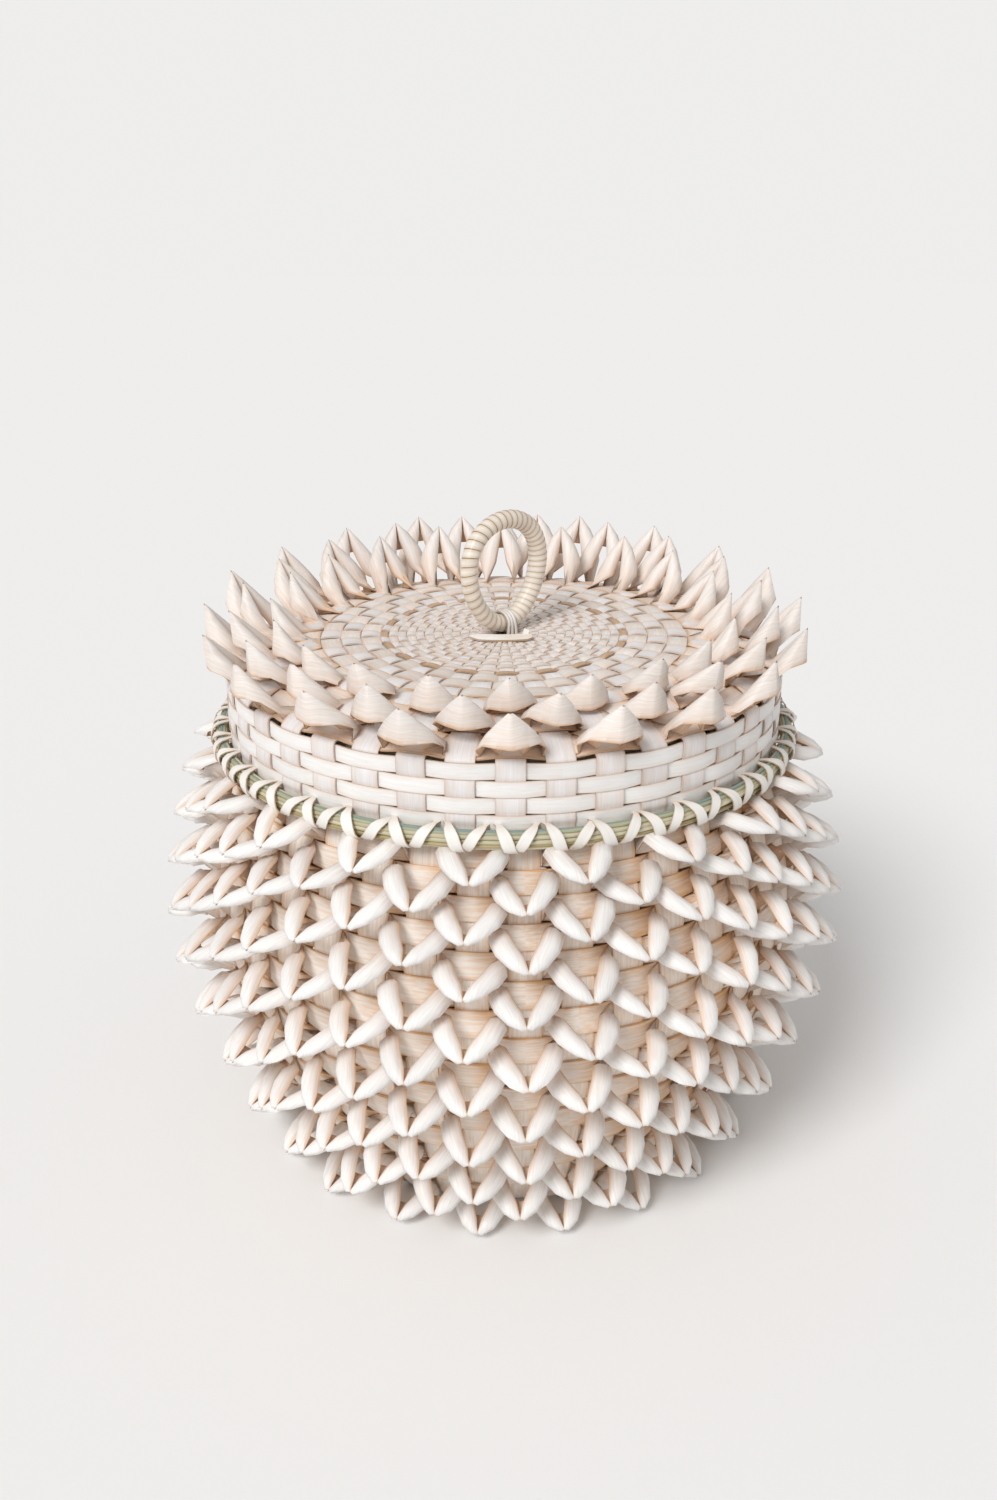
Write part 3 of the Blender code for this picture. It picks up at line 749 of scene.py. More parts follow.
@dataclass(frozen=True)
class CurlRow:
    """One overlay strip that rides on a weaver and is folded into a ring of pointed curls.

    Between two uprights the strip leaves the face and bends into a sheath whose tip is on
    its upper edge, at t = 0. A point at t along the strip and y down from that edge keeps
    its distance d = sqrt(t^2 + y^2) from the tip, and lies at the arc q = d atan(y / t) from
    the edge round the sheath's mouth. The mouth goes from the edge over a plump leg, a tube
    of radius p tanh(s / slim p) tanh(d / nose), by the angle roll, and then along a quarter
    oval to the keel under the tip, where s = w tanh(flare d / w) is the sheath's half width.
    gap parts the two legs, and sunk times their radius is how far they lie below the axis.

    A section of the strip runs from its upper edge along such a mouth as far as the leg
    goes round, and from there straight to the lower edge, which is trimmed half way to the
    weaver's width. Where it is flat it lies above its weaver, and it keeps a margin beside
    the uprights. The sections lie at the distances first and cuts from the tip of a curl
    that reaches out by reach, and beyond far the strip is flat on its weaver. lip and sheen
    are how much warmer the edges and the lower side are painted, as painted shade, and proud
    is how much taller the curls at the back stand.
    """

    face: Face
    station: float
    turn: float
    tip: Pair
    strip: float
    base: float
    upright: float
    depth: float
    swing: float
    seed: int
    thick: float = 0.36 * MM
    tilt: float = math.radians(8)
    flare: float = 0.91
    keel: float = 0.34
    level: float = 0.04
    plump: float = 2.5 * MM
    nose: float = 0.5 * MM
    slim: float = 1.84
    sunk: float = 0.0
    sheen: float = 0.0
    spare: float = 2.6 * MM
    gap: float = 0.12 * MM
    roll: float = math.radians(158)
    first: float = 1.3 * MM
    cuts: tuple[float, ...] = (5.2 * MM, 10.0 * MM, 14.4 * MM, 16.4 * MM)
    far: float = 15.0 * MM
    reach: float = 15.3 * MM
    lip: float = 0.75
    jitter: float = 0.9 * MM
    crown: float = 0.3 * MM
    floor: float = -1.0
    proud: float = 0.0
    above: float = 0.55 * MM
    margin: float = 0.5 * MM

    def girth(self, distance: Array, wide: Array) -> tuple[Array, Array]:
        """Half width of the sheath and radius of its legs at a distance from the tip."""
        side = wide * np.tanh(self.flare * distance / wide)
        return side, self.plump * np.tanh(side / (self.slim * self.plump)) * np.tanh(distance / self.nose)

    def mouth(self, distance: Array, arc: Array, wide: Array) -> tuple[Array, Array]:
        """Follow the mouth of the sheath.

        Args:
            distance: Distances from the tip.
            arc: Lengths round the mouth from the strip's upper edge.
            wide: Half width that the sheath grows towards.

        Returns:
            Places across and above the sheath's axis.
        """
        side, tube = self.girth(distance, wide)
        quarter, leg = math.pi / 2, self.roll * tube
        over = self.roll - arc / tube
        rest = np.clip((arc - leg) / (distance * quarter - leg), 0, 1) * quarter
        side = side + self.gap * np.tanh(distance / MM)
        sunk = self.sunk * tube
        x = np.where(over > 0, side - tube + tube * np.cos(over), side * np.cos(rest))
        z = np.where(over > 0, tube * np.sin(over), (sunk - self.keel * distance) * np.sin(rest))
        return x, z - sunk + self.level * distance

    def chart(self, stations: Array, far: float, width: Array, wide: Array) -> tuple[Array, Array]:
        """Say where on the flat strip the corners of each section lie.

        Args:
            stations: Distance of each section from the tip along the upper edge.
            far: Distance beyond which the strip is flat on its weaver.
            width: Width of each curl's strip.
            wide: Half width that each curl's sheath grows towards.

        Returns:
            Places along and down the strip, shaped (curls, sections, 6).
        """
        d, w = stations[None, :, None], width[:, None, None]
        least = np.maximum(d, 0.1 * MM)
        _, tube = self.girth(least, wide[:, None, None])
        most = np.arcsin(np.minimum(0.92 * w / np.maximum(d, 0.92 * w), 1.0))
        turned = np.minimum(self.roll * tube / least, most)
        angle = turned * np.linspace(0, 1, 5)
        t = np.concatenate([d * np.cos(angle), d * np.cos(turned)], -1)
        low = w + 0.5 * (self.base - w) * eased(d / far)
        y = np.concatenate([d * np.sin(angle), low + 0 * turned], -1)
        keel = np.concatenate([np.linspace(0.1, 1.0, 5) * self.first + 0 * w, w], -1)
        y = np.where(d == 0, keel, np.where(d > far, w * np.linspace(0, 1, 6), y))
        return np.where(d > far, d, t), y

    def axes(self, heading: Array, rng: np.random.Generator) -> tuple[Array, tuple[Array, ...]]:
        """Set each curl's tip and directions up, a little shaken.

        Args:
            heading: The curls' headings.
            rng: Where the shaking is drawn from.

        Returns:
            Tips, and unit vectors across each sheath, above it and into it.
        """
        base, along, up, out = self.face.frame(heading, self.station)
        back = ((1 - np.cos(heading)) / 2) ** 2
        shake = rng.normal(size=(CURLS, 3)) * self.jitter * np.array([0.6, 0.45, 0.4])
        tip = base + polar(self.tip[0], heading, self.tip[1] + self.proud * back)
        tip = tip + along * shake[:, :1] + up * shake[:, 1:2] + out * shake[:, 2:]
        inward = unit(base - tip)
        lift = unit(up - inward * np.sum(up * inward, -1, keepdims=True))
        axis, lift = swung(inward, lift, self.tilt + rng.normal(size=(CURLS, 1)) * 0.06)
        across, lift = swung(along, lift, rng.normal(size=(CURLS, 1)) * 0.08)
        return tip, (across, lift, axis)

    def laid(self, heading: Array, lateral: Array, radius: float) -> Array:
        """Places of the strip where it is flat on its weaver, shaped (curls, sections, 6, 3).

        Args:
            heading: The curls' headings.
            lateral: Metres round the face from them to each section.
            radius: The face's radius.

        Returns:
            The places.
        """
        place, _, rise, normal = self.face.frame(heading[:, None] + lateral / radius, self.station)
        level = self.depth + self.swing * crossing_wave(CURLS * lateral / radius) + self.above
        share = np.linspace(0.5, -0.5, 6)
        bulge = self.crown * (1 - (2 * share) ** 2)
        drop = rise[:, :, None] * (self.base * share)[:, None]
        return place[:, :, None] + drop + normal[:, :, None] * (level[:, None] + bulge)[..., None]

    def strands(self) -> Strands:
        """Work the row of curls out.

        Returns:
            One closed strand of 20 curls, 12 sections for each.
        """
        rng = np.random.default_rng(self.seed)
        heading = self.turn + np.arange(CURLS) * 2 * PITCH
        radius = float(self.face.profile(np.array([self.station]))[0][0])
        share = math.hypot(*self.tip) / self.reach
        room = radius * PITCH - self.upright / 2 - self.margin
        half, far = np.array([self.first, *self.cuts]) * share, self.far * share
        end = half[-1] + radius * PITCH - room
        station = np.concatenate([[-end], -half[::-1], [0.0], half])
        beyond, side = np.abs(station), np.sign(station)[:, None]
        width, wide = (size * rng.uniform(0.94, 1.06, CURLS) for size in (self.strip, room + self.spare))
        t, y = self.chart(beyond, far, width, wide)
        tip, ways = self.axes(heading, rng)
        distance = np.hypot(t, y)
        x, z = self.mouth(distance, distance * np.arctan2(y, t), wide[:, None, None])
        deep = np.sqrt(np.maximum(distance**2 - x * x - z * z, (0.05 * distance) ** 2))
        steps = (value[..., None] * way[:, None, None] for value, way in zip((x * side, z, deep), ways))
        sheath = tip[:, None, None] + sum(steps)
        flat = self.laid(heading, side[:, 0] * np.maximum(beyond - half[-1] + room, 0.0), radius)
        middle = np.where((beyond > far)[:, None, None], flat, sheath).reshape(-1, 6, 3)
        step = np.roll(middle, -1, 0) - np.roll(middle, 1, 0)
        normals = -unit(np.cross(step, np.gradient(middle, axis=1)))
        thick = (self.thick * (0.45 + 0.55 * np.clip(distance / (3 * MM), 0, 1))).reshape(-1, 6, 1)
        inner = [5, 2, 0]
        outside, inside = middle + normals * thick / 2, middle - normals * thick / 2
        sections = np.concatenate([outside, inside[:, inner]], 1)[None]
        sections[..., 2] = np.maximum(sections[..., 2], self.floor)
        around = [*range(6), *inner, 0]
        run = (np.arange(CURLS)[:, None, None] * 2 * end + t * side + end).reshape(-1, 6)[:, around]
        span = y.reshape(-1, 6)[:, around]
        run = np.concatenate([run, run[:1] + CURLS * 2 * end])
        span = np.concatenate([span, span[:1]])
        tone = np.repeat(rng.uniform(-1, 1, CURLS), len(station))[:, None]
        away = (beyond / end)[:, None]
        # Painted shade: the edges and the lower side by lip and sheen, and the inner faces, tan inside the sheath; the
        # outer face also grows warmer towards the ends of the legs.
        edges = self.sheen * eased(np.arange(6) / 3) + self.lip * np.array([1.0, 0.2, 0.0, 0.0, 0.0, 0.2])
        warm_out = 0.40 * eased((away - 0.40) / 0.55) + edges
        warmth = np.tile(np.concatenate([warm_out, 0.7 + 0.3 * away + np.zeros(3)], 1), (CURLS, 1))
        return Strands(sections, run[None], span[None], True, tone, warmth, outer=6)


@dataclass(frozen=True)
class Course:
    """A stretch of an upright's way, with one number, or one for each of its points, for each.

    row is its place between the rows that cross it, swing how far the weave swings there,
    and depth the level of the weave's middle.
    """

    radius: Array
    height: float | Array
    row: Array
    swing: float | Array
    width: float | Array
    depth: float | Array
    warmth: float | Array

    def columns(self) -> list[Array]:
        """Its numbers as arrays of one length."""
        return [np.broadcast_to(value, self.radius.shape) for value in vars(self).values()]

    def __add__(self, other: "Course") -> "Course":
        """Return this stretch with the other one behind it."""
        return Course(*map(np.concatenate, zip(self.columns(), other.columns())))


@dataclass(frozen=True)
class UprightSet:
    """The 40 uprights of the basket or the lid, each woven along its whole length.

    An upright's level is swing * wave(pi (row + column)), so that it lies over one row and
    under the next.
    """

    turn: float
    thick: float
    seed: int
    outward: float = 1.0

    def strands(self, course: Course) -> Strands:
        """Work the uprights out along one course, as 40 open strands."""
        slope = unit(np.stack([np.gradient(course.radius), np.gradient(course.height)], -1))
        column = np.arange(UPRIGHTS)[:, None]
        level = course.depth + course.swing * crossing_wave(math.pi * (course.row + column))
        rng = np.random.default_rng(self.seed)
        lean = rng.normal(size=(UPRIGHTS, 1)) * 0.0016
        heading = self.turn + column * PITCH + lean * np.linspace(-1, 1, len(course.radius))
        out = self.outward * (polar(1.0, heading, 0.0) * slope[:, 1:] - RISE * slope[:, :1])
        centres = polar(course.radius, heading, course.height) + out * level[..., None]
        return strip(
            centres, polar(1.0, heading + math.pi / 2, 0.0), out, course.width, self.thick, False,
            rng.uniform(-1, 1, (UPRIGHTS, 1)), course.warmth, 0.25, crown=0.06 * MM, cuts=2,
        )


@dataclass(frozen=True)
class Lacing:
    """A flat strip wound round a rim, one turn for each upright.

    Round the rim's section the strip follows an oval: (r, z) = centre + (half width cos b,
    half height sin b), with both shares taken to the power 0.75. Its heading moves by a set
    share of the pitch on the outside, where b is between -90 and 90 degrees, and by the rest
    on the inside. The strip is narrow on the inside and wide on the outside.
    """

    centre: Pair
    half: Pair
    turn: float
    outside: float
    way: float
    width: float
    narrow: float
    thick: float
    seed: int
    steps: int = 16

    def strands(self) -> Strands:
        """Work the lacing out as one closed strand of 40 turns."""
        turns = np.arange(UPRIGHTS * self.steps) / self.steps
        part = turns % 1.0
        rng = np.random.default_rng(self.seed)
        slips = rng.normal(size=UPRIGHTS) * 0.05
        slip = np.interp(turns, np.arange(UPRIGHTS + 1), np.append(slips, slips[0]))
        shift = np.interp(part, [0.0, 0.5, 1.0], [0.0, self.outside, 1.0])
        heading = self.turn + self.way * (np.floor(turns) + shift + slip) * PITCH
        b = math.pi / 2 - ROUND * part
        cos, sin = np.cos(b), np.sin(b)
        r, z = (
            middle + half * np.sign(share) * np.abs(share) ** 0.75
            for middle, half, share in zip(self.centre, self.half, (cos, sin))
        )
        centres = polar(r, heading, z)
        away = unit(polar(cos / self.half[0], heading, sin / self.half[1]))
        tangent = unit(np.roll(centres, -1, 0) - np.roll(centres, 1, 0))
        normal = unit(away - tangent * np.sum(away * tangent, -1, keepdims=True))
        front = np.clip(cos, 0, 1)
        return strip(
            centres, np.cross(tangent, normal), normal, self.narrow + (self.width - self.narrow) * front**0.6,
            self.thick, True, np.repeat(rng.uniform(-1, 1, UPRIGHTS), self.steps), 0.30 * (1 - front**0.5),
            crown=0.12 * MM, cuts=2, grain=self.width,
        )


def plain_hoop(radius: float, band: Band, thick: float, seed: int, steps: int = 160) -> Strands:
    """Bend an upright flat strip of one width round a circle.

    Args:
        radius: Radius of its middle.
        band: Where its edges lie.
        thick: Thickness.
        seed: Seed of its drift.
        steps: Sections round it.

    Returns:
        One closed strand.
    """
    heading = np.arange(steps) * ROUND / steps
    centres = polar(radius + wander(heading, 0.03 * MM, seed), heading, band.middle)
    tone = wander(heading, 0.4, seed + 1)
    return strip(centres, RISE, polar(1.0, heading, 0.0), band.height, thick, True, tone, crown=0.08 * MM)


# --- The basket -----------------------------------------------------------------------


@dataclass
class BasketBody:
    """The round body: wall, neck and rim, with its rows of curls."""

    shop: Workshop
    turn: float = math.radians(3.6)
    rows: int = 15
    foot_radius: float = 58.8 * MM
    belly_radius: float = 86.8 * MM
    shoulder_radius: float = 77.4 * MM
    belly_height: float = 78.0 * MM
    shoulder_height: float = 124.9 * MM
    outline_power: float = 1.6
    neck_start: float = 127.4 * MM
    neck_radius: float = 73.5 * MM
    rim_radius: float = 72.2 * MM
    rim_start: float = 141.6 * MM
    rim_step: float = 1.5 * MM
    top: float = 146.2 * MM
    curl_reach: float = 15.0 * MM
    curl_strip: Pair = (6.6 * MM, 7.4 * MM)
    droop: Pair = (1.2 * MM, 4.2 * MM)
    depth: float = -0.4 * MM
    swing: float = 0.70 * MM
    lace_radius: float = 72.4 * MM
    lace_half: float = 2.75 * MM
    upright_heights: tuple[float, ...] = (0.0, 78.0 * MM, 125.0 * MM, 146.0 * MM)
    upright_widths: tuple[float, ...] = (6.6 * MM, 8.8 * MM, 8.0 * MM, 7.4 * MM)

    def outline(self, height: Array) -> tuple[Array, Array]:
        """Radius and height of the wall, neck and rim at a height.

        Below the belly the radius falls from the belly's by (1 - z / belly height) ^ 1.6 of
        the way to the foot's, and above it in the same way to the shoulder's. Then it steps
        in to the neck and to the rim.
        """
        belly, power = self.belly_height, self.outline_power
        low = np.clip((belly - height) / belly, 0, 1) ** power
        high = np.clip((height - belly) / (self.shoulder_height - belly), 0, 1) ** power
        fall = (self.belly_radius - self.foot_radius) * low + (self.belly_radius - self.shoulder_radius) * high
        wall = self.belly_radius - fall
        neck = eased((height - self.shoulder_height) / (self.neck_start - self.shoulder_height))
        rim = eased((height - self.rim_start + self.rim_step) / self.rim_step)
        return wall + (self.neck_radius - wall) * neck + (self.rim_radius - self.neck_radius) * rim, height

    def row_turn(self, row: int) -> float:
        """Heading of a row's first curl: rows take turns between two sets of uprights."""
        return self.turn + (PITCH if row % 2 == 0 else 0.0)

    def upright_width(self, height: float | Array) -> float | Array:
        """Width of the uprights: cut narrow at the foot, widest at the belly."""
        return np.interp(height, self.upright_heights, self.upright_widths)

    def weave_wall(self) -> None:
        """Weave the 15 wide weavers."""
        for row in range(self.rows):
            node = f"wall_weaver_{row + 1:02d}"
            band = Band.of(node)
            weaver = Weaver(
                Face(self.outline), band.middle, self.row_turn(row), band.height + 0.1 * MM, self.depth,
                self.swing, 0.7 * MM, 300 + row, crown=0.35 * MM, painted_side_shade=0.60, warm_base=0.02,
            )
            self.shop.piece(f"woven_{node}", [weaver.strands()], PALE_SPLINT, Body.BASKET, Slot.BODY, node)

    def curl_wall(self) -> None:
        """Fold the 15 overlay strips into curls."""
        for row in range(self.rows):
            node, band = f"wall_curls_{row + 1:02d}", Band.of(f"wall_weaver_{row + 1:02d}")
            droop = self.droop[0] + (self.droop[1] - self.droop[0]) * row / (self.rows - 1)
            tip = (self.curl_reach, -min(droop, band.middle - 3.0 * MM))
            width = min(max(self.curl_strip[0], 0.85 * band.height), self.curl_strip[1])
            curls = CurlRow(
                Face(self.outline), band.middle, self.row_turn(row), tip, width,
                min(width, band.height - 0.2 * MM), self.upright_width(band.middle), self.depth, self.swing,
                700 + row, jitter=0.5 * MM if row == self.rows - 1 else 0.9 * MM, floor=0.15 * MM,
            )
            self.shop.piece(f"folded_{node}", [curls.strands()], CURL_SPLINT, Body.BASKET, Slot.CURL, node)

    def raise_uprights(self, base: "BasketBase") -> None:
        """Run the 40 uprights from the base's centre up the wall to the rim."""
        nodes = [*(f"wall_weaver_{row:02d}" for row in range(self.rows, 0, -1)), "neck_weaver_2", "neck_weaver_1"]
        crossings = [0.0, *(Band.of(node).middle for node in nodes), self.top]
        height = np.linspace(1.9 * MM, self.top, 112)
        fade = eased((self.rim_start - height) / (2 * MM)) * eased(height / (4 * MM))
        wall = Course(
            self.outline(height)[0], height, np.interp(height, crossings, np.arange(self.rows, -4.0, -1.0)),
            swing=0.50 * MM * fade, width=self.upright_width(height),
            depth=(self.depth + 0.05 * MM) * eased(height / (6 * MM)) * fade, warmth=0.08,
        )
        strands = UprightSet(self.turn, 0.55 * MM, 61).strands(base.course(self.rows + 0.5) + wall)
        self.shop.piece("splint_uprights", [strands], PALE_SPLINT, Body.BASKET, Slot.WARM, "body_uprights")

    def weave_neck(self) -> None:
        """Weave the two plain rows under the lid."""
        for k in (1, 2):
            node = f"neck_weaver_{k}"
            band, turn = Band.of(node), self.turn + (PITCH if k == 1 else 0.0)
            weaver = Weaver(
                Face(self.outline), band.middle, turn, band.height, 0.05 * MM, 0.45 * MM, 0.5 * MM, 340 + k,
                crown=0.1 * MM, warm_base=0.2,
            )
            self.shop.piece(f"woven_neck_{k}", [weaver.strands()], PALE_SPLINT, Body.BASKET, Slot.BODY, node)

    def bind_rim(self) -> None:
        """Bend the rim's two hoops and lace them."""
        for side, thick, seed in (("outer", 1.3 * MM, 11), ("inner", 1.0 * MM, 12)):
            node = f"rim_{side}_hoop"
            band = Band.of(node)
            hoop = plain_hoop(band.radius - thick / 2 - 0.05 * MM, band, thick - 0.1 * MM, seed)
            self.shop.piece(f"bent_rim_{side}", [hoop], HOOP_SPLINT, Body.BASKET, Slot.HOOP, node)
        band = Band.of("rim_outer_hoop")
        centre, half = (self.lace_radius, band.middle), (self.lace_half, band.height / 2 + 0.35 * MM)
        lacing = Lacing(
            centre, half, self.turn + PITCH / 2, outside=0.45, way=1.0,
            width=2.4 * MM, narrow=1.6 * MM, thick=0.3 * MM, seed=21,
        )
        self.shop.piece("bound_rim", [lacing.strands()], LACE_SPLINT, Body.BASKET, Slot.LACING, "rim_lacing")

    def build(self, base: "BasketBase") -> None:
        """Build the whole body, whose uprights start in the base."""
        self.weave_wall()
        self.curl_wall()
        self.raise_uprights(base)
        self.weave_neck()
        self.bind_rim()


@dataclass
class BasketBase:
    """The flat base: fine rows round the crossing, wider rows towards the wall."""

    shop: Workshop
    turn: float
    radius: float = 55.8 * MM
    inner: float = 4.0 * MM
    fine_rows: int = 11
    fine_edge: float = 33.0 * MM
    wide_rows: int = 4
    height: float = 0.62 * MM
    swing: float = 0.22 * MM

    def stations(self) -> Array:
        """Radii of the rows' edges, from the centre out."""
        fine = np.linspace(self.inner, self.fine_edge, self.fine_rows + 1)
        return np.concatenate([fine, np.linspace(self.fine_edge, self.radius, self.wide_rows + 1)[1:]])

    def course(self, row: float) -> Course:
        """The uprights' way over the base, out to just before a row's number."""
        edges = self.stations()
        middles = (edges[1:] + edges[:-1]) / 2
        fine = np.linspace(1.2 * MM, self.fine_edge, 30)
        radius = np.append(fine, np.linspace(self.fine_edge + 1.4 * MM, self.radius + 1.2 * MM, 14))
        rows = np.interp(radius, middles, np.arange(len(middles), 0.0, -1.0)) + row
        swing = self.swing * eased(radius / (5 * MM)) * eased((self.radius + 1.0 * MM - radius) / (3 * MM))
        width = np.minimum(6.6 * MM, 0.80 * PITCH * radius + 0.05 * MM)
        return Course(radius, self.height, rows, swing, width, depth=0.0, warmth=0.3)

    def build(self) -> None:
        """Weave the base's rows."""
        edges = self.stations()
        face = Face(lambda radius: (radius, np.full_like(radius, self.height)), -1.0)
        rows = [
            Weaver(
                face, (low + high) / 2, self.turn + (PITCH if k % 2 else 0.0), high - low - 0.15 * MM, 0.0,
                self.swing, 0.36 * MM, 400 + k, cuts=2, steps=4 if k < self.fine_rows else 6, warm_base=0.3,
            ).strands()
            for k, (low, high) in enumerate(zip(edges[:-1], edges[1:]))
        ]
        self.shop.piece("woven_base", rows, PALE_SPLINT, Body.BASKET, Slot.WARM, "base_weave")


# --- The lid --------------------------------------------------------------------------


@dataclass
class Lid:
    """The lid: a domed woven top with three rings of curls, and a straight band.

    spokes says where its uprights start and bend, fold how high they are in the bend, and
    pressed how far they are pushed in below hoop_top, where the inner hoop holds them.
    """

    shop: Workshop
    turn: float = math.radians(1.2)
    top: float = 154.5 * MM
    flat_radius: float = 45.0 * MM
    radius: float = 80.0 * MM
    drop: float = 7.0 * MM
    band_radius: float = 79.0 * MM
    bottom: float = 125.3 * MM
    hole: float = 4.8 * MM
    fine_edge: float = 33.2 * MM
    fine_rows: int = 11
    brown: Pair = (33.3 * MM, 35.5 * MM)
    wide_start: float = 35.6 * MM
    wide_middles: tuple[float, ...] = (34.35 * MM, 38.3 * MM, 44.0 * MM, 49.7 * MM)
    upright: float = 7.5 * MM
    spokes: Pair = (2.6 * MM, 77.6 * MM)
    fold: Pair = (147.6 * MM, 146.6 * MM)
    band_top: float = 146.2 * MM
    hoop_top: float = 130.5 * MM
    pressed: float = -0.35 * MM
    depth: float = -0.6 * MM
    swing: float = 0.42 * MM
    wide_swing: float = 0.55 * MM
    curl_strip: float = 9.6 * MM
    curl_base: float = 7.6 * MM
    carriers: tuple[float, ...] = (52.7 * MM, 60.9 * MM, 69.6 * MM, 78.9 * MM)
    rings: tuple[float, ...] = (56.5 * MM, 65.25 * MM, 74.0 * MM)
    tips: tuple[Pair, ...] = ((66.0 * MM, 164.0 * MM), (77.0 * MM, 164.0 * MM), (85.6 * MM, 162.8 * MM))

    def outline(self, radius: Array) -> tuple[Array, Array]:
        """Radius and height of the top: flat, then falling with the square of the radius."""
        beyond = np.maximum(radius - self.flat_radius, 0) / (self.radius - self.flat_radius)
        return radius, self.top - self.drop * beyond**2

    def wall(self, height: Array) -> tuple[Array, Array]:
        """Radius and height of the straight band."""
        return np.full_like(height, self.band_radius), height

    def fine_stations(self) -> Array:
        """Radii of the fine rows' edges."""
        return np.linspace(self.hole, self.fine_edge, self.fine_rows + 1)

    def row_turn(self, row: int) -> float:
        """Heading of an upright that a row of the top lies over."""
        return self.turn + (0.0 if row % 2 else PITCH)

    def top_weaver(
        self, row: int, low: float, high: float, swing: float, seed: int, warm: float, steps: int = 4
    ) -> Strands:
        """Weave one row of the lid's top.

        Args:
            row: Row number from the centre, which says what uprights it lies over.
            low: Inner radius.
            high: Outer radius.
            swing: How far it swings over and under.
            seed: Seed of its drift.
            warm: How tan it is.
            steps: Sections for each upright.

        Returns:
            The row.
        """
        return Weaver(
            Face(self.outline, -1.0), (low + high) / 2, self.row_turn(row), high - low, self.depth, swing,
            0.42 * MM, seed, crown=0.12 * MM * min(1.0, (high - low) / (5 * MM)), cuts=2, steps=steps,
            warm_base=warm, painted_side_shade=0.15,
        ).strands()

    def weave_top(self) -> None:
        """Weave the fine middle, the brown row and the wide rows."""
        edges = self.fine_stations()
        fine = [
            self.top_weaver(
                k, low + 0.06 * MM, high - 0.06 * MM, self.swing * min(1.0, 0.5 + k / 8), 500 + k, 0.16
            )
            for k, (low, high) in enumerate(zip(edges[:-1], edges[1:]))
        ]
        self.shop.piece("woven_lid_middle", fine, LID_SPLINT, Body.LID, Slot.BODY, "lid_fine_weave")
        brown = self.top_weaver(11, *self.brown, self.swing, 520, 0.2, 6)
        self.shop.piece("woven_lid_brown", [brown], BROWN_SPLINT, Body.LID, Slot.BROWN, "lid_brown_weaver")
        edge = self.wide_start
        for k in (1, 2, 3):
            node = f"lid_wide_weaver_{k}"
            high = Band.of(node).radius
            row = self.top_weaver(11 + k, edge, high, self.wide_swing, 529 + k, 0.22, 8)
            self.shop.piece(f"woven_lid_wide_{k}", [row], LID_SPLINT, Body.LID, Slot.BODY, node)
            edge = high + 0.1 * MM

    def curl_top(self) -> None:
        """Fold the three rings of curls, each on the weaver that carries it."""
        for k, (ring, (reach, height)) in enumerate(zip(self.rings, self.tips)):
            row, node = 15 + k, f"lid_curls_{k + 1}"
            tip = (reach - ring, height - float(self.outline(ring)[1]))
            # sheen paints shade on the lower side of the lid's curls.
            curls = CurlRow(
                Face(self.outline, -1.0), ring, self.row_turn(row), tip, self.curl_strip, self.curl_base,
                self.upright, self.depth, self.wide_swing, 740 + k, tilt=0.0, flare=0.68, keel=0.64, level=0.0,
                plump=3.2 * MM, nose=0.7 * MM, slim=2.0, sunk=1.0, sheen=0.22, spare=3.9 * MM, gap=0.05 * MM,
                roll=math.radians(190), first=0.8 * MM, jitter=0.8 * MM, proud=6.3 * MM,
            )
            low, high = self.carriers[k], self.carriers[k + 1] - 0.4 * MM
            under = self.top_weaver(row, low, high, self.wide_swing, 545 + k, 0.3, 8)
            self.shop.piece(f"folded_{node}", [curls.strands(), under], CURL_SPLINT, Body.LID, Slot.CURL, node)

    def raise_uprights(self) -> None:
        """Run the lid's 40 uprights from its centre over the shoulder and down the band."""
        edges, outermost = self.fine_stations(), self.rings[-1]
        crossings = [*((edges[1:] + edges[:-1]) / 2), *self.wide_middles, *self.rings]
        radius = np.append(np.linspace(self.spokes[0], self.fine_edge, 34), np.linspace(34.5 * MM, self.spokes[1], 40))
        row = np.interp(radius, crossings, np.arange(len(crossings)))
        top = Course(
            radius, self.outline(radius)[1],
            np.where(radius > outermost, 17 + (radius - outermost) / (9 * MM), row),
            swing=np.where(radius < 36 * MM, self.swing * 0.9, 0.5 * MM) * eased(radius / (6 * MM)),
            width=np.minimum(self.upright, 0.80 * PITCH * radius), depth=self.depth, warmth=0.12,
        )
        down = -np.array([Band.of(f"lid_band_weaver_{k}").middle for k in (1, 2, 3, 4)])
        z = np.append(np.linspace(*self.fold, 3), np.linspace(self.band_top, self.bottom + 0.2 * MM, 30))
        row = np.interp(-z, down, np.arange(18.0, 22.0))
        band = Course(
            self.band_radius - 0.6 * MM * eased((z - 146.4 * MM) / (1.4 * MM)) ** 2, z,
            np.where(-z < down[0], 18 - (z + down[0]) / (8 * MM), row),
            swing=0.38 * MM, width=self.upright, depth=np.where(z < self.hoop_top, self.pressed, 0.0), warmth=0.16,
        )
        strands = UprightSet(self.turn, 0.45 * MM, 62, -1.0).strands(top + band)
        self.shop.piece("splint_lid_uprights", [strands], SPOKE_SPLINT, Body.LID, Slot.WARM, "lid_uprights")

    def weave_band(self) -> None:
        """Weave the band's four rows."""
        for k in (1, 2, 3, 4):
            node = f"lid_band_weaver_{k}"
            band, turn = Band.of(node), self.turn + (PITCH if k % 2 else 0.0)
            row = Weaver(
                Face(self.wall), band.middle, turn, band.height + 0.15 * MM, 0.0, 0.42 * MM, 0.5 * MM, 560 + k,
                crown=0.08 * MM, warm_base=0.02,
            )
            self.shop.piece(f"woven_lid_band_{k}", [row.strands()], BAND_SPLINT, Body.LID, Slot.BODY, node)

    def build(self) -> None:
        """Build the lid without its edge and handle."""
        self.weave_top()
        self.curl_top()
        self.raise_uprights()
        self.weave_band()


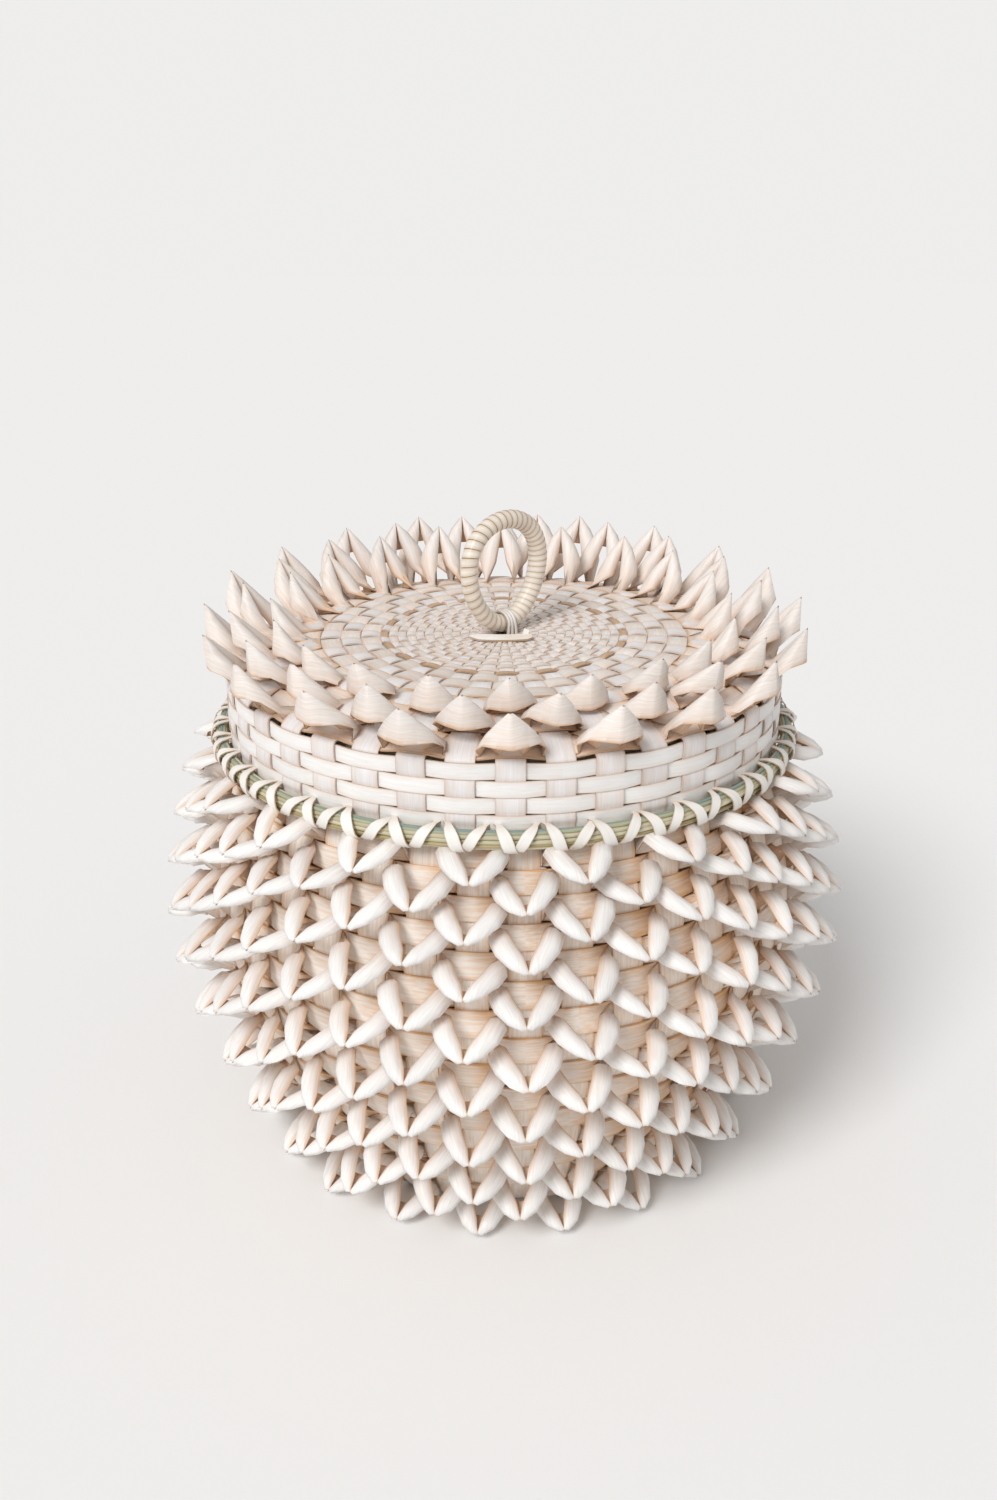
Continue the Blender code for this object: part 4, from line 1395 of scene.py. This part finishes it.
@dataclass
class LidEdge:
    """The lid's lower edge: an inner splint hoop, an outer bundle of grass, and the lacing."""

    shop: Workshop
    turn: float
    grass_centre: Pair = (81.9 * MM, 128.0 * MM)
    grass_half: Pair = (1.75 * MM, 2.65 * MM)
    lace_centre: Pair = (80.6 * MM, 128.0 * MM)
    under_half: Pair = (3.85 * MM, 3.05 * MM)
    over_half: Pair = (4.25 * MM, 3.2 * MM)
    kinds: tuple[float, ...] = (0.55, 0.50, 0.88, 1.00, 0.50, 0.62, 0.40, 0.60, 0.40, 0.12, 0.56, 0.28, 0.66)

    def bundle_grass(self, steps: int = 160, corners: int = 6) -> None:
        """Lay the blades side by side round the hoop.

        The first blade is the bundle's middle. Each of the others sits on an oval round it,
        and all drift slowly in and out and up and down; each has a round section of its own
        size, and a kind that says where on the grass's ramp its colour lies.

        Args:
            steps: Sections round the hoop.
            corners: Corners of a blade's section.
        """
        heading = np.arange(steps) * ROUND / steps
        rng = np.random.default_rng(31)
        blades = []
        for k, kind in enumerate(self.kinds):
            angle = ROUND * k / (len(self.kinds) - 1)
            spread = (math.cos(angle), math.sin(angle)) if k else (0.0, 0.0)
            size = rng.uniform(0.55, 0.75) * MM
            r, z = (
                middle + share * (half - size) + wander(heading, drift, seed + k)
                for middle, share, half, drift, seed in zip(
                    self.grass_centre, spread, self.grass_half, (0.10 * MM, 0.12 * MM), (800, 830)
                )
            )
            around = np.arange(corners) * ROUND / corners + rng.uniform(0, 1)
            places = polar(
                r[:, None] + size * np.cos(around), heading[:, None], z[:, None] + size * np.sin(around)
            )[None]
            run, span = lengths(places[:, :, 0], True), np.linspace(0, ROUND * size, corners + 1)
            blades.append(Strands(places, run, span, True, rng.uniform(-1, 1), kind, edged=False))
        self.shop.piece("bundled_grass", blades, SWEET_GRASS, Body.LID, Slot.GRASS, "lid_grass_hoop")

    def lace(self) -> None:
        """Wind the two lacings, the second over the first and leaning the other way."""
        under = Lacing(
            self.lace_centre, self.under_half, self.turn + 0.5 * PITCH, outside=0.52, way=-1.0,
            width=3.0 * MM, narrow=1.5 * MM, thick=0.28 * MM, seed=23,
        )
        over = Lacing(
            self.lace_centre, self.over_half, self.turn - 0.30 * PITCH, outside=0.36, way=1.0,
            width=3.3 * MM, narrow=1.6 * MM, thick=0.30 * MM, seed=24,
        )
        both = [under.strands(), over.strands()]
        self.shop.piece("wound_lid_lacing", both, LACE_SPLINT, Body.LID, Slot.LACING, "lid_hoop_lacing")

    def build(self) -> None:
        """Build the edge."""
        node = "lid_inner_hoop"
        hoop = plain_hoop(Band.of(node).radius - 0.4 * MM, Band.of(node), 0.7 * MM, 13)
        self.shop.piece("bent_lid_inner_hoop", [hoop], HOOP_SPLINT, Body.LID_HOOP, Slot.HOOP, node)
        self.bundle_grass()
        self.lace()


# --- The handle -----------------------------------------------------------------------


@dataclass
class RingHandle:
    """The wrapped ring, the strap over its foot and the flat tie.

    A size is a width and a thickness. The tie's place and bow are given forward and up, and
    its short end by its foot and its way from there.
    """

    shop: Workshop
    pivot: float = 157.55 * MM
    half_width: float = 13.3 * MM
    half_height: float = 14.95 * MM
    narrowing: float = 0.15
    plane: float = math.radians(44)
    core: float = 1.7 * MM
    wrap_radius: Pair = (2.28 * MM, 2.55 * MM)
    turns: int = 44
    strap_radius: float = 3.3 * MM
    strap_foot: float = 153.4 * MM
    strap_shifts: tuple[float, ...] = (-1.15 * MM, 0.0, 1.15 * MM)
    strap_size: Pair = (1.02 * MM, 0.38 * MM)
    tie_ends: Pair = (-9.8 * MM, 7.9 * MM)
    tie_place: Pair = (-7.4 * MM, 155.6 * MM)
    tie_bow: Pair = (0.45 * MM, 0.30 * MM)
    tie_size: Pair = (2.8 * MM, 0.6 * MM)
    tie_tip: float = math.radians(18)
    short_foot: tuple[float, ...] = (5.6 * MM, -6.6 * MM, 154.8 * MM)
    short_way: tuple[float, ...] = (0.9 * MM, 0.5 * MM, 2.6 * MM)
    short_size: Pair = (1.7 * MM, 0.4 * MM)

    def __post_init__(self) -> None:
        """Work out the directions in the ring's plane and out of it."""
        self.side = np.array([math.cos(self.plane), math.sin(self.plane), 0.0])
        self.normal = np.array([-math.sin(self.plane), math.cos(self.plane), 0.0])

    def line(self, t: Array) -> tuple[Array, Array, Array]:
        """Follow the ring's middle line.

        Place = (W sin t (1 - 0.15 cos t), H (1 - cos t)) in the ring's plane, from its foot.

        Args:
            t: Angles from 0 at the foot.

        Returns:
            Places, unit vectors along the line, and unit vectors away from its middle.
        """
        x = self.half_width * np.sin(t) * (1 - self.narrowing * np.cos(t))
        z = self.half_height * (1 - np.cos(t)) + self.pivot
        dx = self.half_width * (np.cos(t) - self.narrowing * np.cos(2 * t))
        dz = self.half_height * np.sin(t)
        along = unit(dx[..., None] * self.side + dz[..., None] * RISE)
        away = along[..., 2:] * self.side - np.sum(along * self.side, -1, keepdims=True) * RISE
        return x[..., None] * self.side + z[..., None] * RISE, along, away

    def even(self, share: Array) -> Array:
        """Angles at even shares of the line's length, a little denser on its right side."""
        t = np.linspace(0, ROUND, 720)
        steps = np.linalg.norm(np.diff(self.line(t)[0], axis=0), axis=-1) * (1 + 0.12 * np.sin(t[1:]))
        total = np.append(0, np.cumsum(steps))
        return np.interp(share, total / total[-1], t)

    def bend_core(self, count: int = 72, corners: int = 8) -> None:
        """Bend the ring's core, with a count of sections and of their corners."""
        place, _, away = self.line(self.even(np.arange(count) / count))
        around = (np.arange(corners) * ROUND / corners)[:, None]
        tube = place[:, None] + self.core * (np.cos(around) * away[:, None] + np.sin(around) * self.normal)
        span = np.linspace(0, ROUND * self.core, corners + 1)
        core = Strands(tube[None], lengths(place[None], True), span, True, edged=False)
        self.shop.piece("bent_ring_core", [core], HOOP_SPLINT, Body.HANDLE, Slot.WARM, "handle_ring_core")

    def wind_wrap(self, steps: int = 18) -> None:
        """Wind the wrapping round the core.

        It goes round the core once for each turn while it goes once round the ring, and one
        of its edges lies over the turn before.

        Args:
            steps: Sections in a turn.
        """
        share = np.arange(self.turns * steps) / (self.turns * steps)
        t = self.even(share)
        place, along, away = self.line(t)
        theta = (ROUND * self.turns * share)[:, None]
        radial = np.cos(theta) * away + np.sin(theta) * self.normal
        right = 0.5 + 0.5 * np.sin(t)
        radius = self.wrap_radius[0] + (self.wrap_radius[1] - self.wrap_radius[0]) * right
        centres = place + radial * radius[:, None]
        ahead = np.linalg.norm(np.roll(centres, -steps, 0) - centres, axis=-1)
        wrap = strip(
            centres, along, radial, ahead * (0.965 + 0.02 * right), 0.30 * MM, True,
            np.repeat(np.random.default_rng(45).uniform(-1, 1, self.turns), steps), 0.10 * (1 - right), 0.45,
            crown=0.03 * MM, lean=0.05 * MM, cuts=2, grain=2.2 * MM,
        )
        self.shop.piece("wound_ring_wrap", [wrap], WRAP_SPLINT, Body.HANDLE, Slot.WRAP, "handle_ring_wrap")

    def build_strap(self) -> None:
        """Loop three thin strands over the ring's foot.

        A strand is half a circle over the foot with a straight leg at each end, and lies a
        little beside the next one.
        """
        phi = np.linspace(-math.pi / 2, math.pi / 2, 13)
        leg = np.linspace(self.strap_foot, self.pivot, 4)[:-1]
        ends = np.ones(3)
        across = np.concatenate([-ends, np.sin(phi), ends]) * self.strap_radius
        height = np.concatenate([leg, self.pivot + self.strap_radius * np.cos(phi), leg[::-1]])
        spread = 0.9 + 0.5 * np.clip((self.pivot + 1 * MM - height) / (4 * MM), 0, 1)
        strands = []
        for k, shift in enumerate(self.strap_shifts):
            ways = ((across, self.normal), (shift * spread, self.side), (height, RISE))
            centres = sum(value[:, None] * way for value, way in ways)
            normals = unit(np.cross(self.side, unit(np.gradient(centres, axis=0))))
            strands.append(
                strip(
                    centres, self.side, normals, *self.strap_size, False, k - 1.0,
                    crown=0.14 * MM, grain=1.0 * MM,
                )
            )
        self.shop.piece("looped_strap", strands, LACE_SPLINT, Body.LID, Slot.LACING, "handle_strap")

    def build_tie(self) -> None:
        """Lay the flat tie in front of the foot, bowed forward, with its short end standing."""
        left, right = self.tie_ends
        x = np.linspace(left, right, 15)
        bow = 1 - (2 * (x - (left + right) / 2) / (right - left)) ** 2
        y, z = (place - sag * bow for place, sag in zip(self.tie_place, self.tie_bow))
        centres, (width, thick) = np.stack([x, y, z], -1), self.tie_size
        cos, sin = math.cos(self.tie_tip), math.sin(self.tie_tip)
        start = np.clip(0.25 + (x - left) / (3.5 * MM), 0, 1)
        stop = np.clip(0.6 + (right - x) / (3 * MM), 0, 1)
        lying = strip(
            centres, np.array([0.0, cos, sin]), np.array([0.0, -sin, cos]), width * start * stop,
            thick, False, 0.4, 0.30 * eased((x + 4 * MM) / (6 * MM)), crown=0.08 * MM, grain=2.6 * MM,
        )
        end = np.array(self.short_foot) + np.linspace(0, 1, 5)[:, None] * np.array(self.short_way)
        line = unit(np.gradient(end, axis=0))
        face = unit(np.cross(np.array([1.0, 0.0, 0.0]), line))
        short = strip(end, np.cross(line, face), face, *self.short_size, False, 0.8, cuts=2)
        self.shop.piece("flat_tie", [lying, short], LACE_SPLINT, Body.LID, Slot.LACING, "handle_tie")

    def build(self) -> None:
        """Build the handle and what holds it."""
        self.bend_core()
        self.wind_wrap()
        self.build_strap()
        self.build_tie()


# --- The studio -----------------------------------------------------------------------


@dataclass
class Studio:
    """Pale floor, soft light from the left front, and the camera of the photograph."""

    shop: Workshop
    camera_place: tuple[float, float, float] = (0.0, -0.4065, 0.287)
    camera_aim: tuple[float, float, float] = (0.0, 0.0, 0.119)
    lens: float = 35.5
    sensor: float = 36.0
    shift: Pair = (-0.0037, -0.0027)
    clip: Pair = (0.01, 20.0)
    floor_radius: float = 3.0
    floor_sides: int = 96
    key_strength: float = 2.0
    key_from: tuple[float, float, float] = (-0.60, -1.0, 1.10)
    key_spread: float = math.radians(24)
    sky: Colour = (1.0, 0.99, 0.98)
    surround: float = 0.50
    backdrop: float = 0.858

    def place(self, name: str, data: bpy.types.ID, spot: Vector, aim: Vector) -> bpy.types.Object:
        """Put a lamp or camera into the scene.

        Args:
            name: The object's name.
            data: The lamp or camera.
            spot: Where it stands.
            aim: What it points at.

        Returns:
            The object.
        """
        made = bpy.data.objects.new(name, data)
        made.location = spot
        made.rotation_mode = "QUATERNION"
        made.rotation_quaternion = (aim - spot).to_track_quat("-Z", "Y")
        bpy.context.scene.collection.objects.link(made)
        return made

    def lay_floor(self) -> None:
        """Lay a round floor under the basket: a fan of triangles from its centre."""
        index = np.arange(self.floor_sides)
        rim = polar(self.floor_radius, index * ROUND / self.floor_sides, 0.0)
        points = np.concatenate([np.zeros((1, 3)), rim])
        faces = np.stack([np.zeros_like(index), index + 1, (index + 1) % self.floor_sides + 1], -1)
        mesh = bpy.data.meshes.new("floor")
        mesh.from_pydata(points.tolist(), [], faces.tolist())
        mesh.materials.append(self.shop.finish(PAPER))
        floor = bpy.data.objects.new("floor", mesh)
        bpy.context.scene.collection.objects.link(floor)

    def hang_lights(self) -> None:
        """Hang the key light and set the surrounding light, white where the camera sees it."""
        lamp = bpy.data.lights.new("key", "SUN")
        lamp.energy, lamp.angle = self.key_strength, self.key_spread
        self.place("key", lamp, Vector(self.key_from), Vector())
        world = bpy.data.worlds.new("surround")
        board = Board(world, "ShaderNodeBackground")
        rays = board.node("ShaderNodeLightPath", {}, {}).outputs
        seen = board.math("MAXIMUM", *(Wire(board, rays[f"Is {kind} Ray"]) for kind in ("Camera", "Transmission")))
        board.shade({"Color": self.sky, "Strength": self.surround + seen * (self.backdrop - self.surround)})
        bpy.context.scene.world = world

    def set_camera(self) -> None:
        """Stand the camera where the photograph was taken from."""
        data = bpy.data.cameras.new("camera")
        data.lens, data.sensor_width = self.lens, self.sensor
        data.shift_x, data.shift_y = self.shift
        data.clip_start, data.clip_end = self.clip
        camera = self.place("camera", data, Vector(self.camera_place), Vector(self.camera_aim))
        bpy.context.scene.camera = camera
        bpy.context.scene.view_settings.view_transform = "Standard"

    def build(self) -> None:
        """Set the studio up."""
        self.lay_floor()
        self.hang_lights()
        self.set_camera()


def main() -> None:
    """Build every sub-assembly in order and report each."""
    logging.basicConfig(level=logging.INFO, format="%(name)s: %(message)s")
    shop = Workshop()
    Studio(shop).build()
    body = BasketBody(shop)
    base = BasketBase(shop, body.turn)
    base.build()
    body.build(base)
    lid = Lid(shop)
    lid.build()
    LidEdge(shop, lid.turn).build()
    RingHandle(shop).build()
    LOG.info("%d pieces", len(shop.made))


if __name__ == "__main__":
    main()
